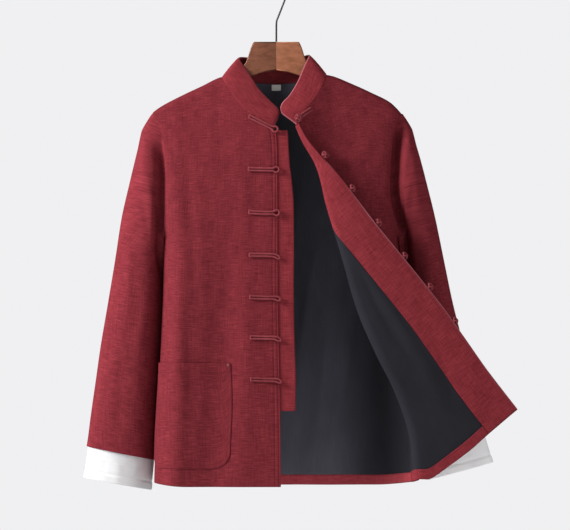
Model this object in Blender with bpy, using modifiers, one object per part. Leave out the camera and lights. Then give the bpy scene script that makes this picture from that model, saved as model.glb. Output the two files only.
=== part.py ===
"""A tang jacket hanging on a wooden hanger, its left front turned back.

Lengths are in millimetres until they become points: x runs to the wearer's left, y to the
back, and "drop" is measured down from the rod that carries the hook, so that z = -drop.
The cloth pieces are walls made from one surface function each.  What lies on a panel,
such as a facing or a pocket, is made from the panel's own points, moved along its normal.
"""
import math
from collections import namedtuple

import bmesh
import bpy
from mathutils import Vector

# ------------------------------------------------------------------ driving sizes
MM = 0.001
CLOTH = 1.4                 # outer cloth, with its interlining
LINING = 0.9
SEAM_INSET = 0.4            # each edge from its seam line: the inner edges end 0.3 apart
LAYER_GAP = 0.65            # between a panel and what lies on it
HEM_DROP = 875.0            # rod to hem
FRONT, BACK = -1, 1         # the two faces of the body, as the sign of y
RIGHT, LEFT = -1, 1         # the wearer's two sides, as the sign of x

# ------------------------------------------------------------------ body sections
# One row for each height: the half widths out to the armhole seam or the side seam, and
# how far the front and the back stand from the middle plane.
BodyLevel = namedtuple("BodyLevel", "drop right left front back")
BODY = (
    BodyLevel(239, 212, 215, 40, 30),
    BodyLevel(262, 199, 210, 42, 31),
    BodyLevel(285, 193, 204, 44, 32),
    BodyLevel(336, 187, 195, 47, 34),
    BodyLevel(385, 188, 193, 50, 35),
    BodyLevel(450, 191, 207, 53, 37),
    BodyLevel(560, 194, 215, 56, 39),
    BodyLevel(645, 198, 222, 58, 40),
    BodyLevel(780, 206, 229, 60, 42),
    BodyLevel(875, 209, 234, 61, 43),
)
SHOULDER_DROP = 239         # both shoulder points
UNDERARM_DROP = 450
CORNER_WIDTH = 48           # how far round the side the body curves, across
ARMHOLE_TURN = math.radians(58)   # how much of that curve the armhole cuts away
SHOULDER_ROLL = 14          # radius of the cloth over the hanger's arm
DRAPE = 90                  # how quickly the body fills out below the shoulder
NECK_EASE = 13              # extra room round the neck
NECK_REACH = 96

# The shoulder line, outward from the neck.
ShoulderPoint = namedtuple("ShoulderPoint", "out right_drop left_drop")
SHOULDER = (
    ShoulderPoint(0, 168, 164),
    ShoulderPoint(90, 175.3, 173.4),
    ShoulderPoint(128, 192.5, 187.8),
    ShoulderPoint(162, 208.5, 203.2),
    ShoulderPoint(195, 225.8, 220),
    ShoulderPoint(214, 239, 239),
)

# The neck seam, from the shoulder inwards, on each face.
SeamPoint = namedtuple("SeamPoint", "x drop")
NECK_SEAM_RIGHT = (
    SeamPoint(-92.3, 176.3), SeamPoint(-80.4, 196.7), SeamPoint(-66.8, 215.4),
    SeamPoint(-49.8, 234.1), SeamPoint(-27.7, 251.1), SeamPoint(-3.9, 263.0),
)
NECK_SEAM_LEFT = (
    SeamPoint(84.5, 171.2), SeamPoint(79.4, 186.5), SeamPoint(70.9, 203.5),
    SeamPoint(60.7, 217.5), SeamPoint(47.0, 235.0), SeamPoint(33.5, 257.8),
)
NECK_SEAM_BACK = (
    SeamPoint(-92.3, 176.3), SeamPoint(-68, 180.0), SeamPoint(-36, 186.6),
    SeamPoint(0, 190.0), SeamPoint(36, 186.4), SeamPoint(64, 178.6), SeamPoint(84.5, 171.2),
)

# Large soft folds that hang down a face: where they stand and how far they rise.
HangingFold = namedtuple("HangingFold", "face top_x hem_x start width height")
HANGING_FOLDS = (
    HangingFold(FRONT, -160, -176, 330, 20, 5.0),
    HangingFold(FRONT, -104, -112, 420, 22, -4.5),
    HangingFold(FRONT, -52, -60, 560, 24, 2.5),
    HangingFold(BACK, -120, -128, 380, 24, 5.0),
    HangingFold(BACK, -58, -66, 460, 20, -4.0),
    HangingFold(BACK, 30, 38, 320, 16, 5.0),
    HangingFold(BACK, 78, 92, 380, 18, -4.5),
    HangingFold(BACK, 138, 154, 420, 22, 5.0),
)
FOLD_GROWTH = 260           # length over which a fold grows to its full height


def curve_at(rows, key, column, at):
    """Read a column of a table at a place between its rows, as a smooth curve."""
    keys = [getattr(row, key) for row in rows]
    values = [getattr(row, column) for row in rows]
    at = min(max(at, keys[0]), keys[-1])
    last = len(keys) - 2
    i = next((n for n in range(last + 1) if at <= keys[n + 1]), last)

    def slope(n):
        low, high = max(n - 1, 0), min(n + 1, len(keys) - 1)
        return (values[high] - values[low]) / (keys[high] - keys[low])

    span = keys[i + 1] - keys[i]
    f = (at - keys[i]) / span
    return (values[i] * (1 + 2 * f) * (1 - f) ** 2 + values[i + 1] * f * f * (3 - 2 * f)
            + span * (slope(i) * f * (1 - f) ** 2 - slope(i + 1) * f * f * (1 - f)))


def along(points, fraction):
    """The (x, drop) at a fraction of the length of a chain of seam points."""
    lengths = [math.dist(a, b) for a, b in zip(points, points[1:])]
    left = min(max(fraction, 0.0), 1.0) * sum(lengths)
    for a, b, length in zip(points, points[1:], lengths):
        if left <= length:
            return mix(a[0], b[0], left / length), mix(a[1], b[1], left / length)
        left -= length
    return points[-1][0], points[-1][1]


def mix(a, b, f):
    return a + (b - a) * f


def ease(f):
    """0 to 1 with a level start and end."""
    f = min(max(f, 0.0), 1.0)
    return f * f * (3 - 2 * f)


def spread(count, power=1.0):
    """Fractions from 0 to 1, closer together near 0 where the power is above 1."""
    return [(n / count) ** power for n in range(count + 1)]


def at_point(x, y, drop):
    return Vector((x, y, -drop)) * MM


# ------------------------------------------------------------------ body surface
def body_edge(side, drop):
    return side * curve_at(BODY, "drop", "right" if side == RIGHT else "left", drop)


def shoulder_drop(x):
    return curve_at(SHOULDER, "out", "right_drop" if x < 0 else "left_drop", abs(x))


def armhole_turn(drop):
    """Angle round the side at which the panel starts: 0 at the side seam."""
    depth = (drop - SHOULDER_DROP) / (UNDERARM_DROP - SHOULDER_DROP)
    return ARMHOLE_TURN * math.sqrt(1 - min(max(depth, 0.0), 1.0) ** 3)


def face_depth(face, x, drop):
    """How far the flat of a face stands from the middle plane."""
    full = curve_at(BODY, "drop", "front" if face == FRONT else "back", drop)
    below = max(drop - shoulder_drop(x), 0.0)
    if below < SHOULDER_ROLL:
        depth = math.sqrt(SHOULDER_ROLL ** 2 - (SHOULDER_ROLL - below) ** 2)
    else:
        fill = 1 - math.exp(-(below - SHOULDER_ROLL) / DRAPE)
        depth = SHOULDER_ROLL + (full - SHOULDER_ROLL) * fill
    reach = max(0.0, 1 - (x / NECK_REACH) ** 2)
    depth += NECK_EASE * reach * min(below / 15, 1.0) * math.exp(-max(below - 20, 0) / 140)
    for fold in HANGING_FOLDS:
        if fold.face == face and drop > fold.start:
            centre = mix(fold.top_x, fold.hem_x, (drop - fold.start) / (HEM_DROP - fold.start))
            swell = fold.height * ease((drop - fold.start) / FOLD_GROWTH)
            depth += swell * math.exp(-((x - centre) / fold.width) ** 2)
    return depth


def side_turn(side, x, drop):
    """Sine of the angle round the side: 0 at the side seam, 1 where the face is flat."""
    outer = abs(body_edge(side, drop)) + CORNER_WIDTH * (1 - math.cos(armhole_turn(drop)))
    inward = min((outer - side * x) / CORNER_WIDTH, 1.0)
    return math.sqrt(max(1 - (1 - inward) ** 2, 0.0))


def body_point(face, x, drop):
    side = RIGHT if x < 0 else LEFT
    y = max(face_depth(face, x, drop) * side_turn(side, x, drop), SEAM_INSET)
    return at_point(x, face * y, drop)


def share_across(side, s, drop, front_x):
    """Share of the width, 1 at the side and 0 at the front edge, at even steps of cloth."""
    start = armhole_turn(drop)
    width = abs(body_edge(side, drop) - front_x)
    corner = CORNER_WIDTH * (math.pi / 2 - start)
    corner_width = CORNER_WIDTH * math.cos(start)
    walked = s * (corner + width - corner_width)
    if walked < corner:
        turned = start + walked / CORNER_WIDTH
        inward = CORNER_WIDTH * (math.cos(start) - math.cos(turned))
    else:
        inward = corner_width + walked - corner
    return 1 - inward / width


def hanging_x(side, s, drop, top_x, top_drop, front_x):
    """x of a column that starts on a seam at the top and ends at even steps of cloth."""
    front_at = front_x(drop)
    edge = body_edge(side, drop)
    top_front = front_x(top_drop)
    top_share = (top_x - top_front) / (body_edge(side, top_drop) - top_front)
    low_share = share_across(side, s, drop, front_at)
    share = mix(top_share, low_share, ease((drop - top_drop) / 150))
    return mix(front_at, edge, share)


def top_seam(shoulder_end, neck_seam, s, shoulder_share):
    """The top edge of a front: along the shoulder, then along the neck seam."""
    if s < shoulder_share:
        x = mix(shoulder_end, neck_seam[0].x, s / shoulder_share)
        return x, shoulder_drop(x)
    return along(neck_seam, (s - shoulder_share) / (1 - shoulder_share))


# ------------------------------------------------------------------ right front
FrontEdge = namedtuple("FrontEdge", "drop x")
FRONT_EDGE_RIGHT = (
    FrontEdge(263, -3.9), FrontEdge(275, -0.3), FrontEdge(302, 1.2), FrontEdge(387, 2.0),
    FrontEdge(557, 2.9), FrontEdge(727, 6.3), FrontEdge(875, 8.0),
)
SHOULDER_SHARE = 0.52       # share of a front's top edge that is shoulder seam
SIDE_HEM_LIFT = 6           # the hem rises a little towards the side


def front_right_edge(drop):
    return curve_at(FRONT_EDGE_RIGHT, "drop", "x", drop)


def front_right_at(s, t):
    top_x, top_drop = top_seam(body_edge(RIGHT, SHOULDER_DROP), NECK_SEAM_RIGHT, s,
                               SHOULDER_SHARE)
    hem = HEM_DROP - SIDE_HEM_LIFT * (1 - ease(s / 0.35))
    drop = mix(top_drop, hem, t)
    x = hanging_x(RIGHT, s, drop, top_x, top_drop, front_right_edge)
    return x, drop


def front_right(s, t):
    return body_point(FRONT, *front_right_at(s, t))


# ------------------------------------------------------------------ left front
# The left front folds back on itself.  One row for each cross section of the fold, at a
# share of the way down: the fold line with its radius, the angle in degrees at which the
# cloth enters the fold (-90 lies flat against the body), and the front edge of the flap.
FlapRow = namedtuple("FlapRow", "share fold_x fold_y radius turn edge_x edge_drop edge_y")
FLAP = (
    FlapRow(0.000, 33.5, -50, 2.5, -90, 38.5, 256.0, -54),
    FlapRow(0.050, 47.0, -52, 3.0, -90, 54.5, 284.5, -58),
    FlapRow(0.107, 67.0, -55, 3.5, -90, 77.0, 312.0, -62),
    FlapRow(0.155, 77.0, -59, 4.5, -90, 98.0, 335.2, -66),
    FlapRow(0.223, 86.2, -66, 6.0, -90, 121.5, 365.0, -70),
    FlapRow(0.355, 110.0, -79, 8.0, -90, 167.8, 426.2, -77),
    FlapRow(0.524, 139.5, -90, 10.0, -88, 230.7, 503.7, -84),
    FlapRow(0.650, 172.0, -93, 12.0, -78, 281.4, 567.8, -88),
    FlapRow(0.745, 199.0, -91, 13.0, -64, 316.4, 617.1, -90),
    FlapRow(0.866, 222.5, -83, 14.0, -42, 357.3, 675.2, -90),
    FlapRow(1.000, 236.0, -71, 14.0, -20, 409.2, 742.4, -86),
)
FOLD_TOP, FOLD_HEM = 258, 861       # drop of the fold line's two ends
FOLD_TILT = math.radians(19)        # of the fold line, from the vertical
FLAP_HEM_SAG = 19
FLAP_BOW = 7
SIDE_HEM_LEFT = 868


def flap_value(t, column):
    return curve_at(FLAP, "share", column, t)


def roll_start(t):
    return math.radians(flap_value(t, "turn"))


def roll_length(t):
    return (math.pi / 2 - roll_start(t)) * flap_value(t, "radius")


def roll_point(t, angle):
    """Round the fold: -90 degrees is the layer against the body, 90 the flap's."""
    radius = flap_value(t, "radius")
    out = radius * (1 - math.cos(angle))
    return (flap_value(t, "fold_x") + out * math.cos(FOLD_TILT),
            flap_value(t, "fold_y") - radius * math.sin(angle),
            mix(FOLD_TOP, FOLD_HEM, t) - out * math.sin(FOLD_TILT))


def left_inner_edge(drop):
    """x where the standing part of the left front meets the fold."""
    t = min(max((drop - FOLD_TOP) / (FOLD_HEM - FOLD_TOP), 0.0), 1.0)
    return roll_point(t, roll_start(t))[0]


def standing_shape(s, t):
    """The left front from its side towards the fold, before it is joined to the fold."""
    start = roll_start(t)
    end_x, end_y, end_drop = roll_point(t, start)
    top_x, top_drop = top_seam(body_edge(LEFT, SHOULDER_DROP), NECK_SEAM_LEFT, s,
                               SHOULDER_SHARE)
    hem = mix(SIDE_HEM_LEFT, roll_point(1, roll_start(1))[2], s)
    drop = mix(top_drop, hem, t)
    swing = ease((drop - FOLD_TOP) / 190)
    edge_x = body_edge(LEFT, drop)
    hanging = body_point(
        FRONT, hanging_x(LEFT, s, drop, top_x, top_drop, left_inner_edge), drop)
    if swing == 0:
        return hanging
    start_y = body_point(FRONT, edge_x, drop).y / MM
    shoulder_y = -curve_at(BODY, "drop", "front", drop) * 0.8
    p1 = (edge_x + 0.4 * max(end_x - edge_x, 0.0), max(min(shoulder_y, start_y * 1.05),
                                                       end_y * 0.8))
    reach = 0.4 * math.dist((edge_x, start_y), (end_x, end_y))
    p2 = (end_x - reach * math.sin(start), end_y + reach * math.cos(start))
    a, b, c, d = (1 - s) ** 3, 3 * s * (1 - s) ** 2, 3 * s * s * (1 - s), s ** 3
    curved = at_point(a * edge_x + b * p1[0] + c * p2[0] + d * end_x,
                      a * start_y + b * p1[1] + c * p2[1] + d * end_y, drop)
    return hanging.lerp(curved, swing)


def standing_left(s, t):
    end_x, end_y, end_drop = roll_point(t, roll_start(t))
    shift = at_point(end_x, end_y, end_drop) - standing_shape(1, t)
    return standing_shape(s, t) + shift * s ** 4


def flap_edge_at(t):
    return flap_value(t, "edge_x"), flap_value(t, "edge_y"), flap_value(t, "edge_drop")


def flap_point(f, t):
    """The turned-back part, from the fold (f = 0) to the front edge (f = 1)."""
    start, end = roll_point(t, math.pi / 2), flap_edge_at(t)
    x, y, drop = (mix(a, b, f) for a, b in zip(start, end))
    sag = FLAP_HEM_SAG * t ** 3 * math.sin(math.pi * f ** 0.7)
    x += sag * math.sin(math.radians(35))
    drop += sag * math.cos(math.radians(35))
    y -= FLAP_BOW * t * math.sin(math.pi * f)
    return at_point(x, y, drop)


def front_left(u, t):
    """u is 0 to 1 on the standing part, 1 to 2 round the fold, 2 to 3 on the flap."""
    if u <= 1:
        return standing_left(u, t)
    if u <= 2:
        x, y, drop = roll_point(t, mix(roll_start(t), math.pi / 2, u - 1))
        return at_point(x, y, drop)
    return flap_point(u - 2, t)


def flap_width(t):
    start, end = roll_point(t, math.pi / 2), flap_edge_at(t)
    return math.dist(start, end)


# ------------------------------------------------------------------ back
def back_top(s):
    """Top edge of the back: right shoulder, neck seam, left shoulder."""
    if s < 0.3:
        x = mix(body_edge(RIGHT, SHOULDER_DROP), NECK_SEAM_BACK[0].x, s / 0.3)
        return x, shoulder_drop(x)
    if s > 0.7:
        x = mix(NECK_SEAM_BACK[-1].x, body_edge(LEFT, SHOULDER_DROP), (s - 0.7) / 0.3)
        return x, shoulder_drop(x)
    return along(NECK_SEAM_BACK, (s - 0.3) / 0.4)


def back(s, t):
    """s runs from the right side seam to the left one."""
    side, half = (RIGHT, s * 2) if s < 0.5 else (LEFT, 2 - s * 2)
    top_x, top_drop = back_top(s)
    hem = HEM_DROP - 1 - SIDE_HEM_LIFT * (1 - ease(half / 0.35))
    drop = mix(top_drop, hem, t)
    x = hanging_x(side, half, drop, top_x, top_drop, lambda d: 0.0)
    return body_point(BACK, x, drop)


# ------------------------------------------------------------------ sleeves
# One row for each ring of a sleeve: the point on its outer line, the drop at its inner
# line, which lies beside the body, and half its thickness from front to back.
SleeveRing = namedtuple("SleeveRing", "outer_x outer_drop inner_drop half_depth")
SLEEVE_RIGHT = (
    SleeveRing(-228.3, 268.1, 458, 37),
    SleeveRing(-238.5, 307.2, 468, 39),
    SleeveRing(-250.4, 356.5, 484, 41),
    SleeveRing(-264.0, 417.7, 508, 42),
    SleeveRing(-275.9, 492.5, 545, 42),
    SleeveRing(-287.8, 563.9, 596, 41),
    SleeveRing(-299.7, 633.6, 657, 40),
    SleeveRing(-308.2, 693.1, 711, 38),
    SleeveRing(-316.7, 752.6, 771, 37),
    SleeveRing(-323.5, 807.0, 831, 36),
)
SLEEVE_LEFT = (
    SleeveRing(230.7, 266.4, 458, 37),
    SleeveRing(240.9, 301.0, 468, 39),
    SleeveRing(254.5, 351.0, 484, 41),
    SleeveRing(270.0, 412.0, 508, 42),
    SleeveRing(286.7, 492.0, 545, 42),
    SleeveRing(300.9, 560.0, 590, 41),
    SleeveRing(315.0, 616.0, 640, 40),
    SleeveRing(330.0, 676.0, 702, 38),
    SleeveRing(344.0, 730.0, 758, 37),
    SleeveRing(357.5, 785.0, 812, 36),
)
SLEEVE_START = 3.2          # the inner line's start, this far outside the body
SLEEVE_TUCK = 1.5           # how far the inner line lies behind the body's edge
INNER_BACK, OUTER_BACK = 23, 7      # how far back the two lines of a sleeve lie
SLEEVE_LEAVES_BODY = 14     # the left sleeve leaves the body towards its hem
ARMHOLE_STEP = 1.1          # the sleeve starts this far outside the armhole edge


def sleeve_inner(side, inner_drop):
    """The inner line: outside the body at the underarm, then half behind its edge."""
    tucked = ease((inner_drop - UNDERARM_DROP - 6) / 80)
    away = ease((inner_drop - 560) / 260) * (SLEEVE_LEAVES_BODY if side == LEFT else 0)
    x = body_edge(side, inner_drop) + side * (mix(SLEEVE_START, -SLEEVE_TUCK, tucked) + away)
    return Vector((x, INNER_BACK * tucked, inner_drop))


def sleeve_ring(side, row, angle):
    """A point on a ring: angle 0 on the outer line, 90 degrees at the front."""
    inner = sleeve_inner(side, row.inner_drop)
    outer = Vector((row.outer_x, OUTER_BACK, row.outer_drop))
    middle = (inner + outer) / 2
    point = middle + (outer - middle) * math.cos(angle)
    return at_point(point.x, point.y - row.half_depth * math.sin(angle), point.z)


def armhole_point(side, angle):
    """The armhole edge, by the same angle: 0 at the shoulder, 180 at the underarm."""
    depth = (1 - math.cos(angle)) / 2
    drop = mix(SHOULDER_DROP, UNDERARM_DROP + 2.0, depth)
    face = FRONT if math.sin(angle) > 0 else BACK
    edge = body_edge(side, min(drop, UNDERARM_DROP))
    point = body_point(face, edge - side * 0.02, min(drop, UNDERARM_DROP))
    point.x += side * ARMHOLE_STEP * MM
    point.z = -drop * MM
    return point


def sleeve_rows(side):
    return SLEEVE_RIGHT if side == RIGHT else SLEEVE_LEFT


def sleeve(side, angle, v):
    """v is the number of the ring, 0 at the armhole; fractions lie between two rings."""
    rows = sleeve_rows(side)
    if v < 1:
        return armhole_point(side, angle).lerp(sleeve_ring(side, rows[0], angle), v)
    low = min(int(v) - 1, len(rows) - 2)
    return sleeve_ring(side, rows[low], angle).lerp(
        sleeve_ring(side, rows[low + 1], angle), v - 1 - low)


def sleeve_inside(side, angle, v):
    """The inner face of a sleeve's cloth, which ends beside the armhole's inner face."""
    middle = (sleeve(side, 0, v) + sleeve(side, math.pi, v)) / 2
    point = sleeve(side, angle, v)
    return point + (middle - point).normalized() * CLOTH * MM


# ------------------------------------------------------------------ mesh helpers
def collection_named(name):
    collection = bpy.data.collections.new(name)
    bpy.context.scene.collection.children.link(collection)
    return collection


def material_named(name, color, roughness, metallic=0.0):
    material = bpy.data.materials.new(name)
    material.use_nodes = True
    shader = material.node_tree.nodes["Principled BSDF"]
    shader.inputs["Base Color"].default_value = (*color, 1.0)
    shader.inputs["Roughness"].default_value = roughness
    shader.inputs["Metallic"].default_value = metallic
    material.diffuse_color = (*color, 1.0)
    return material


for old in list(bpy.data.objects):
    bpy.data.objects.remove(old, do_unlink=True)

PART = collection_named("tang_jacket_on_hanger")
RED_CLOTH = material_named("red_cloth", (0.23, 0.035, 0.045), 0.9)
DARK_LINING = material_named("dark_lining", (0.02, 0.021, 0.026), 0.8)
WHITE_COTTON = material_named("white_cotton", (0.75, 0.75, 0.74), 0.9)
BROWN_WOOD = material_named("brown_wood", (0.25, 0.10, 0.055), 0.5)
BLACK_WIRE = material_named("black_wire", (0.02, 0.02, 0.02), 0.4, 1.0)


# A surface with the sign that makes across x down point out of the garment, and the range
# of its two parameters.
Panel = namedtuple("Panel", "surface outward u_end t_end")
FRONT_RIGHT = Panel(front_right, -1, 1, 1)
FRONT_LEFT = Panel(front_left, 1, 3, 1)
BACK_PANEL = Panel(back, 1, 1, 1)


def skin(panel, u, t, lift):
    """A point of a panel moved along its normal, outwards where lift is positive."""
    step = 1e-3
    across = (panel.surface(min(u + step, panel.u_end), t)
              - panel.surface(max(u - step, 0), t))
    down = panel.surface(u, min(t + step, panel.t_end)) - panel.surface(u, max(t - step, 0))
    normal = across.cross(down).normalized() * panel.outward
    return panel.surface(u, t) + normal * lift * MM


def grid_mesh(name, point, us, ts, closed=False):
    """A sheet of triangles through point(u, t)."""
    bm = bmesh.new()
    bmesh.ops.create_grid(bm, x_segments=len(us) - 1, y_segments=len(ts) - 1, size=0.5)
    for vert in bm.verts:
        i = round((vert.co.x + 0.5) * (len(us) - 1))
        j = round((vert.co.y + 0.5) * (len(ts) - 1))
        vert.co = point(us[i], ts[j])
    if closed:
        bmesh.ops.remove_doubles(bm, verts=bm.verts, dist=1e-6)
    bmesh.ops.triangulate(bm, faces=bm.faces, quad_method="FIXED")
    mesh = bpy.data.meshes.new(name)
    bm.to_mesh(mesh)
    bm.free()
    return mesh


def place(name, mesh, material):
    thing = bpy.data.objects.new(name, mesh)
    mesh.materials.append(material)
    PART.objects.link(thing)
    return thing


def wall(name, point, us, ts, thickness, material, flip=False, closed=False, grow=-1.0):
    """A cloth piece: the sheet through point(u, t), thickened inwards or, by 1, outwards."""
    mesh = grid_mesh(name, point, us, ts, closed)
    if flip:
        mesh.flip_normals()
    thing = place(name, mesh, material)
    solid = thing.modifiers.new("thickness", "SOLIDIFY")
    solid.thickness = thickness * MM
    solid.offset = grow
    mesh.shade_smooth()
    return thing


# ------------------------------------------------------------------ fronts and back
ROWS = [0, 0.0006, 0.006, 0.02, 0.05, 0.1, 0.16, 0.23, 0.3, 0.355, 0.42, 0.5, 0.58, 0.66,
        0.74, 0.82, 0.9, 0.96, 1]
LEFT_ROWS = sorted(set(ROWS) - {0.355} | {0.265, 0.32, 0.34, 0.36, 0.385})
FRONT_COLUMNS = spread(14)
BACK_COLUMNS = spread(22)
ROLL_COLUMNS = [1 + n / 6 for n in range(1, 7)]
STANDING_COLUMNS = spread(10)
FLAP_COLUMNS = [2 + n / 8 for n in range(1, 9)]


def panel_wall(name, panel, us, ts, thickness, material, lift=0.0, route=None):
    """A wall on a panel's points; route turns its own (u, t) into the panel's."""
    def point(u, t):
        if route:
            u, t = route(u, t)
        return skin(panel, u, t, lift) if lift else panel.surface(u, t)
    return wall(name, point, us, ts, thickness, material, flip=panel.outward < 0)


panel_wall("front_right", FRONT_RIGHT, FRONT_COLUMNS, ROWS, CLOTH, RED_CLOTH)
panel_wall("front_left", FRONT_LEFT, STANDING_COLUMNS + ROLL_COLUMNS + FLAP_COLUMNS,
           LEFT_ROWS, CLOTH, RED_CLOTH)
panel_wall("back", BACK_PANEL, BACK_COLUMNS, ROWS, CLOTH, RED_CLOTH)

# ------------------------------------------------------------------ sleeves
RING_ANGLES = [math.tau * n / 18 for n in range(19)]
for SIDE, WORD in ((RIGHT, "right"), (LEFT, "left")):
    RINGS = [0, 0.35] + list(range(1, len(sleeve_rows(SIDE)) + 1))
    wall("sleeve_" + WORD, lambda a, v, side=SIDE: sleeve_inside(side, a, v), RING_ANGLES,
         RINGS, CLOTH, RED_CLOTH, flip=SIDE == RIGHT, closed=True, grow=1.0)

# ------------------------------------------------------------------ cuffs
# White cotton cuffs: each comes out of its sleeve end and hangs below it.
CUFF = 1.6
CUFF_INSET = CLOTH + 1.0
CUFF_END = {RIGHT: SleeveRing(-328.6, 860.4, 882.0, 34),
            LEFT: SleeveRing(370.1, 834.2, 865.0, 34)}
CUFF_INNER_X = {RIGHT: -213.5, LEFT: 260.0}
CUFF_STEPS = [0, 0.5, 0.56, 0.8, 1]
CUFF_HIDDEN = 0.35          # how far up into the sleeve, in rings


def inset(side, row, angle, amount):
    """A ring's point moved in towards the ring's middle."""
    middle = (sleeve_ring(side, row, 0) + sleeve_ring(side, row, math.pi)) / 2
    point = sleeve_ring(side, row, angle)
    return point + (middle - point).normalized() * amount * MM


def cuff_end_point(side, angle):
    row = CUFF_END[side]
    inner = Vector((CUFF_INNER_X[side], INNER_BACK, row.inner_drop))
    outer = Vector((row.outer_x, OUTER_BACK, row.outer_drop))
    point = (inner + outer) / 2 + (outer - inner) / 2 * math.cos(angle)
    return at_point(point.x, point.y - row.half_depth * math.sin(angle), point.z)


def cuff(side, angle, v):
    """v is 0 up inside the sleeve, 0.5 at the sleeve's end and 1 at the cuff's own edge."""
    above, last = sleeve_rows(side)[-2:]
    level = inset(side, last, angle, CUFF_INSET)
    if v < 0.5:
        inside = inset(side, above, angle, CUFF_INSET)
        return level.lerp(inside, CUFF_HIDDEN * (1 - v / 0.5))
    return level.lerp(cuff_end_point(side, angle), (v - 0.5) / 0.5)


for SIDE, WORD in ((RIGHT, "right"), (LEFT, "left")):
    wall("cuff_" + WORD, lambda a, v, side=SIDE: cuff(side, a, v), RING_ANGLES, CUFF_STEPS,
         CUFF, WHITE_COTTON, flip=SIDE == RIGHT, closed=True)

# ------------------------------------------------------------------ collar
COLLAR = 2.2
COLLAR_STEP = 1.3           # the collar's lower edge stands this far off the neck seam
RIGHT_SEAM_END, LEFT_SEAM_START = 0.3, 0.7      # where the three neck seams meet
# The collar's upper edge, from its right front corner round the back to its left one.
CollarTop = namedtuple("CollarTop", "at x drop y")
COLLAR_TOP = (
    CollarTop(0.000, 4.0, 243.0, -28), CollarTop(0.020, 4.4, 235.0, -27),
    CollarTop(0.040, 0.5, 228.5, -26), CollarTop(0.063, -6.5, 222.0, -24),
    CollarTop(0.130, -27.7, 200.1, -19), CollarTop(0.190, -41.0, 180.5, -13),
    CollarTop(0.245, -53.0, 161.0, -7), CollarTop(0.290, -64.0, 145.5, 0),
    CollarTop(0.350, -57.0, 142.5, 11), CollarTop(0.420, -34.0, 145.0, 17),
    CollarTop(0.500, 0.0, 148.0, 19), CollarTop(0.590, 32.0, 144.0, 17),
    CollarTop(0.650, 49.0, 140.0, 11), CollarTop(0.710, 56.0, 140.0, 0),
    CollarTop(0.748, 50.0, 153.0, -8.5), CollarTop(0.804, 43.5, 168.5, -14),
    CollarTop(0.855, 36.5, 185.0, -20), CollarTop(0.920, 22.0, 209.0, -25),
    CollarTop(0.955, 11.0, 220.5, -27), CollarTop(0.980, 7.2, 229.5, -28),
    CollarTop(1.000, 9.5, 239.5, -29),
)
COLLAR_COLUMNS = [0, 0.02, 0.04, 0.065, 0.1, 0.14, 0.18, 0.22, 0.26, 0.3, 0.34, 0.38, 0.44,
                  0.5, 0.56, 0.62, 0.66, 0.7, 0.74, 0.78, 0.82, 0.86, 0.9, 0.935, 0.96,
                  0.98, 1]


def neck_seam(at):
    """The neck seam, all the way from the right front edge to the left one."""
    if at < RIGHT_SEAM_END:
        return body_point(FRONT, *along(NECK_SEAM_RIGHT, 1 - at / RIGHT_SEAM_END))
    if at > LEFT_SEAM_START:
        share = (at - LEFT_SEAM_START) / (1 - LEFT_SEAM_START)
        return body_point(FRONT, *along(NECK_SEAM_LEFT, share))
    share = (at - RIGHT_SEAM_END) / (LEFT_SEAM_START - RIGHT_SEAM_END)
    return body_point(BACK, *along(NECK_SEAM_BACK, share))


def collar(at, v):
    seam = neck_seam(at)
    top = at_point(*(curve_at(COLLAR_TOP, "at", column, at) for column in ("x", "y", "drop")))
    rise = top - seam
    seam += rise.normalized() * COLLAR_STEP * MM
    return seam.lerp(top, v)


wall("collar", collar, COLLAR_COLUMNS, spread(3), COLLAR, RED_CLOTH, grow=0.0)

# ------------------------------------------------------------------ underlap
# A narrow double strip behind the right front edge, under the frog loops.
UNDERLAP = 1.6
UNDERLAP_HIDDEN = 12        # how far it reaches behind the front edge
UNDERLAP_TOP, UNDERLAP_HEM = 268, 746
UNDERLAP_EDGE = (
    FrontEdge(268, 19.9), FrontEdge(328, 23.3), FrontEdge(353, 26.7), FrontEdge(404, 30.1),
    FrontEdge(557, 30.1), FrontEdge(642, 31.8), FrontEdge(693, 33.5), FrontEdge(746, 32.6),
)


def underlap(across, down):
    drop = mix(UNDERLAP_TOP, UNDERLAP_HEM, down)
    x = mix(front_right_edge(drop) - UNDERLAP_HIDDEN,
            curve_at(UNDERLAP_EDGE, "drop", "x", drop), across)
    point = body_point(FRONT, x, drop)
    point.y += (CLOTH + LAYER_GAP) * MM
    return point


wall("underlap", underlap, spread(3), spread(12), UNDERLAP, RED_CLOTH, flip=True)

# ------------------------------------------------------------------ pocket
POCKET_CLOTH = 1.2
POCKET_GAP = 0.8
POCKET_TOP, POCKET_HEM = 664, 844
POCKET_SIDE, POCKET_FRONT = 2 / 14, 0.645      # its two edges, across the right front
POCKET_ROUND_WIDTH, POCKET_ROUND_HEIGHT = 0.22, 32
POCKET_COLUMNS = [0, 0.04, 0.1, 0.16, 0.26, 0.38, 0.5, 0.62, 0.74, 0.84, 0.9, 0.96, 1]


def pocket_route(across, down):
    """Where a point of the pocket lies on the right front."""
    lower = min(down / 0.9, 1)
    s = mix(POCKET_SIDE, POCKET_FRONT + 0.012 * math.sin(math.pi * lower * 0.9), across)
    corner = max(1 - min(across, 1 - across) / POCKET_ROUND_WIDTH, 0.0)
    lift = POCKET_ROUND_HEIGHT * (1 - math.sqrt(1 - min(corner, 1.0) ** 2)) * down
    drop = mix(POCKET_TOP, POCKET_HEM, down) - lift
    top_drop = front_right_at(s, 0)[1]
    hem_drop = front_right_at(s, 1)[1]
    return s, (drop - top_drop) / (hem_drop - top_drop)


panel_wall("pocket_right", FRONT_RIGHT, POCKET_COLUMNS, spread(8), POCKET_CLOTH, RED_CLOTH,
           lift=POCKET_GAP + POCKET_CLOTH, route=pocket_route)

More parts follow.
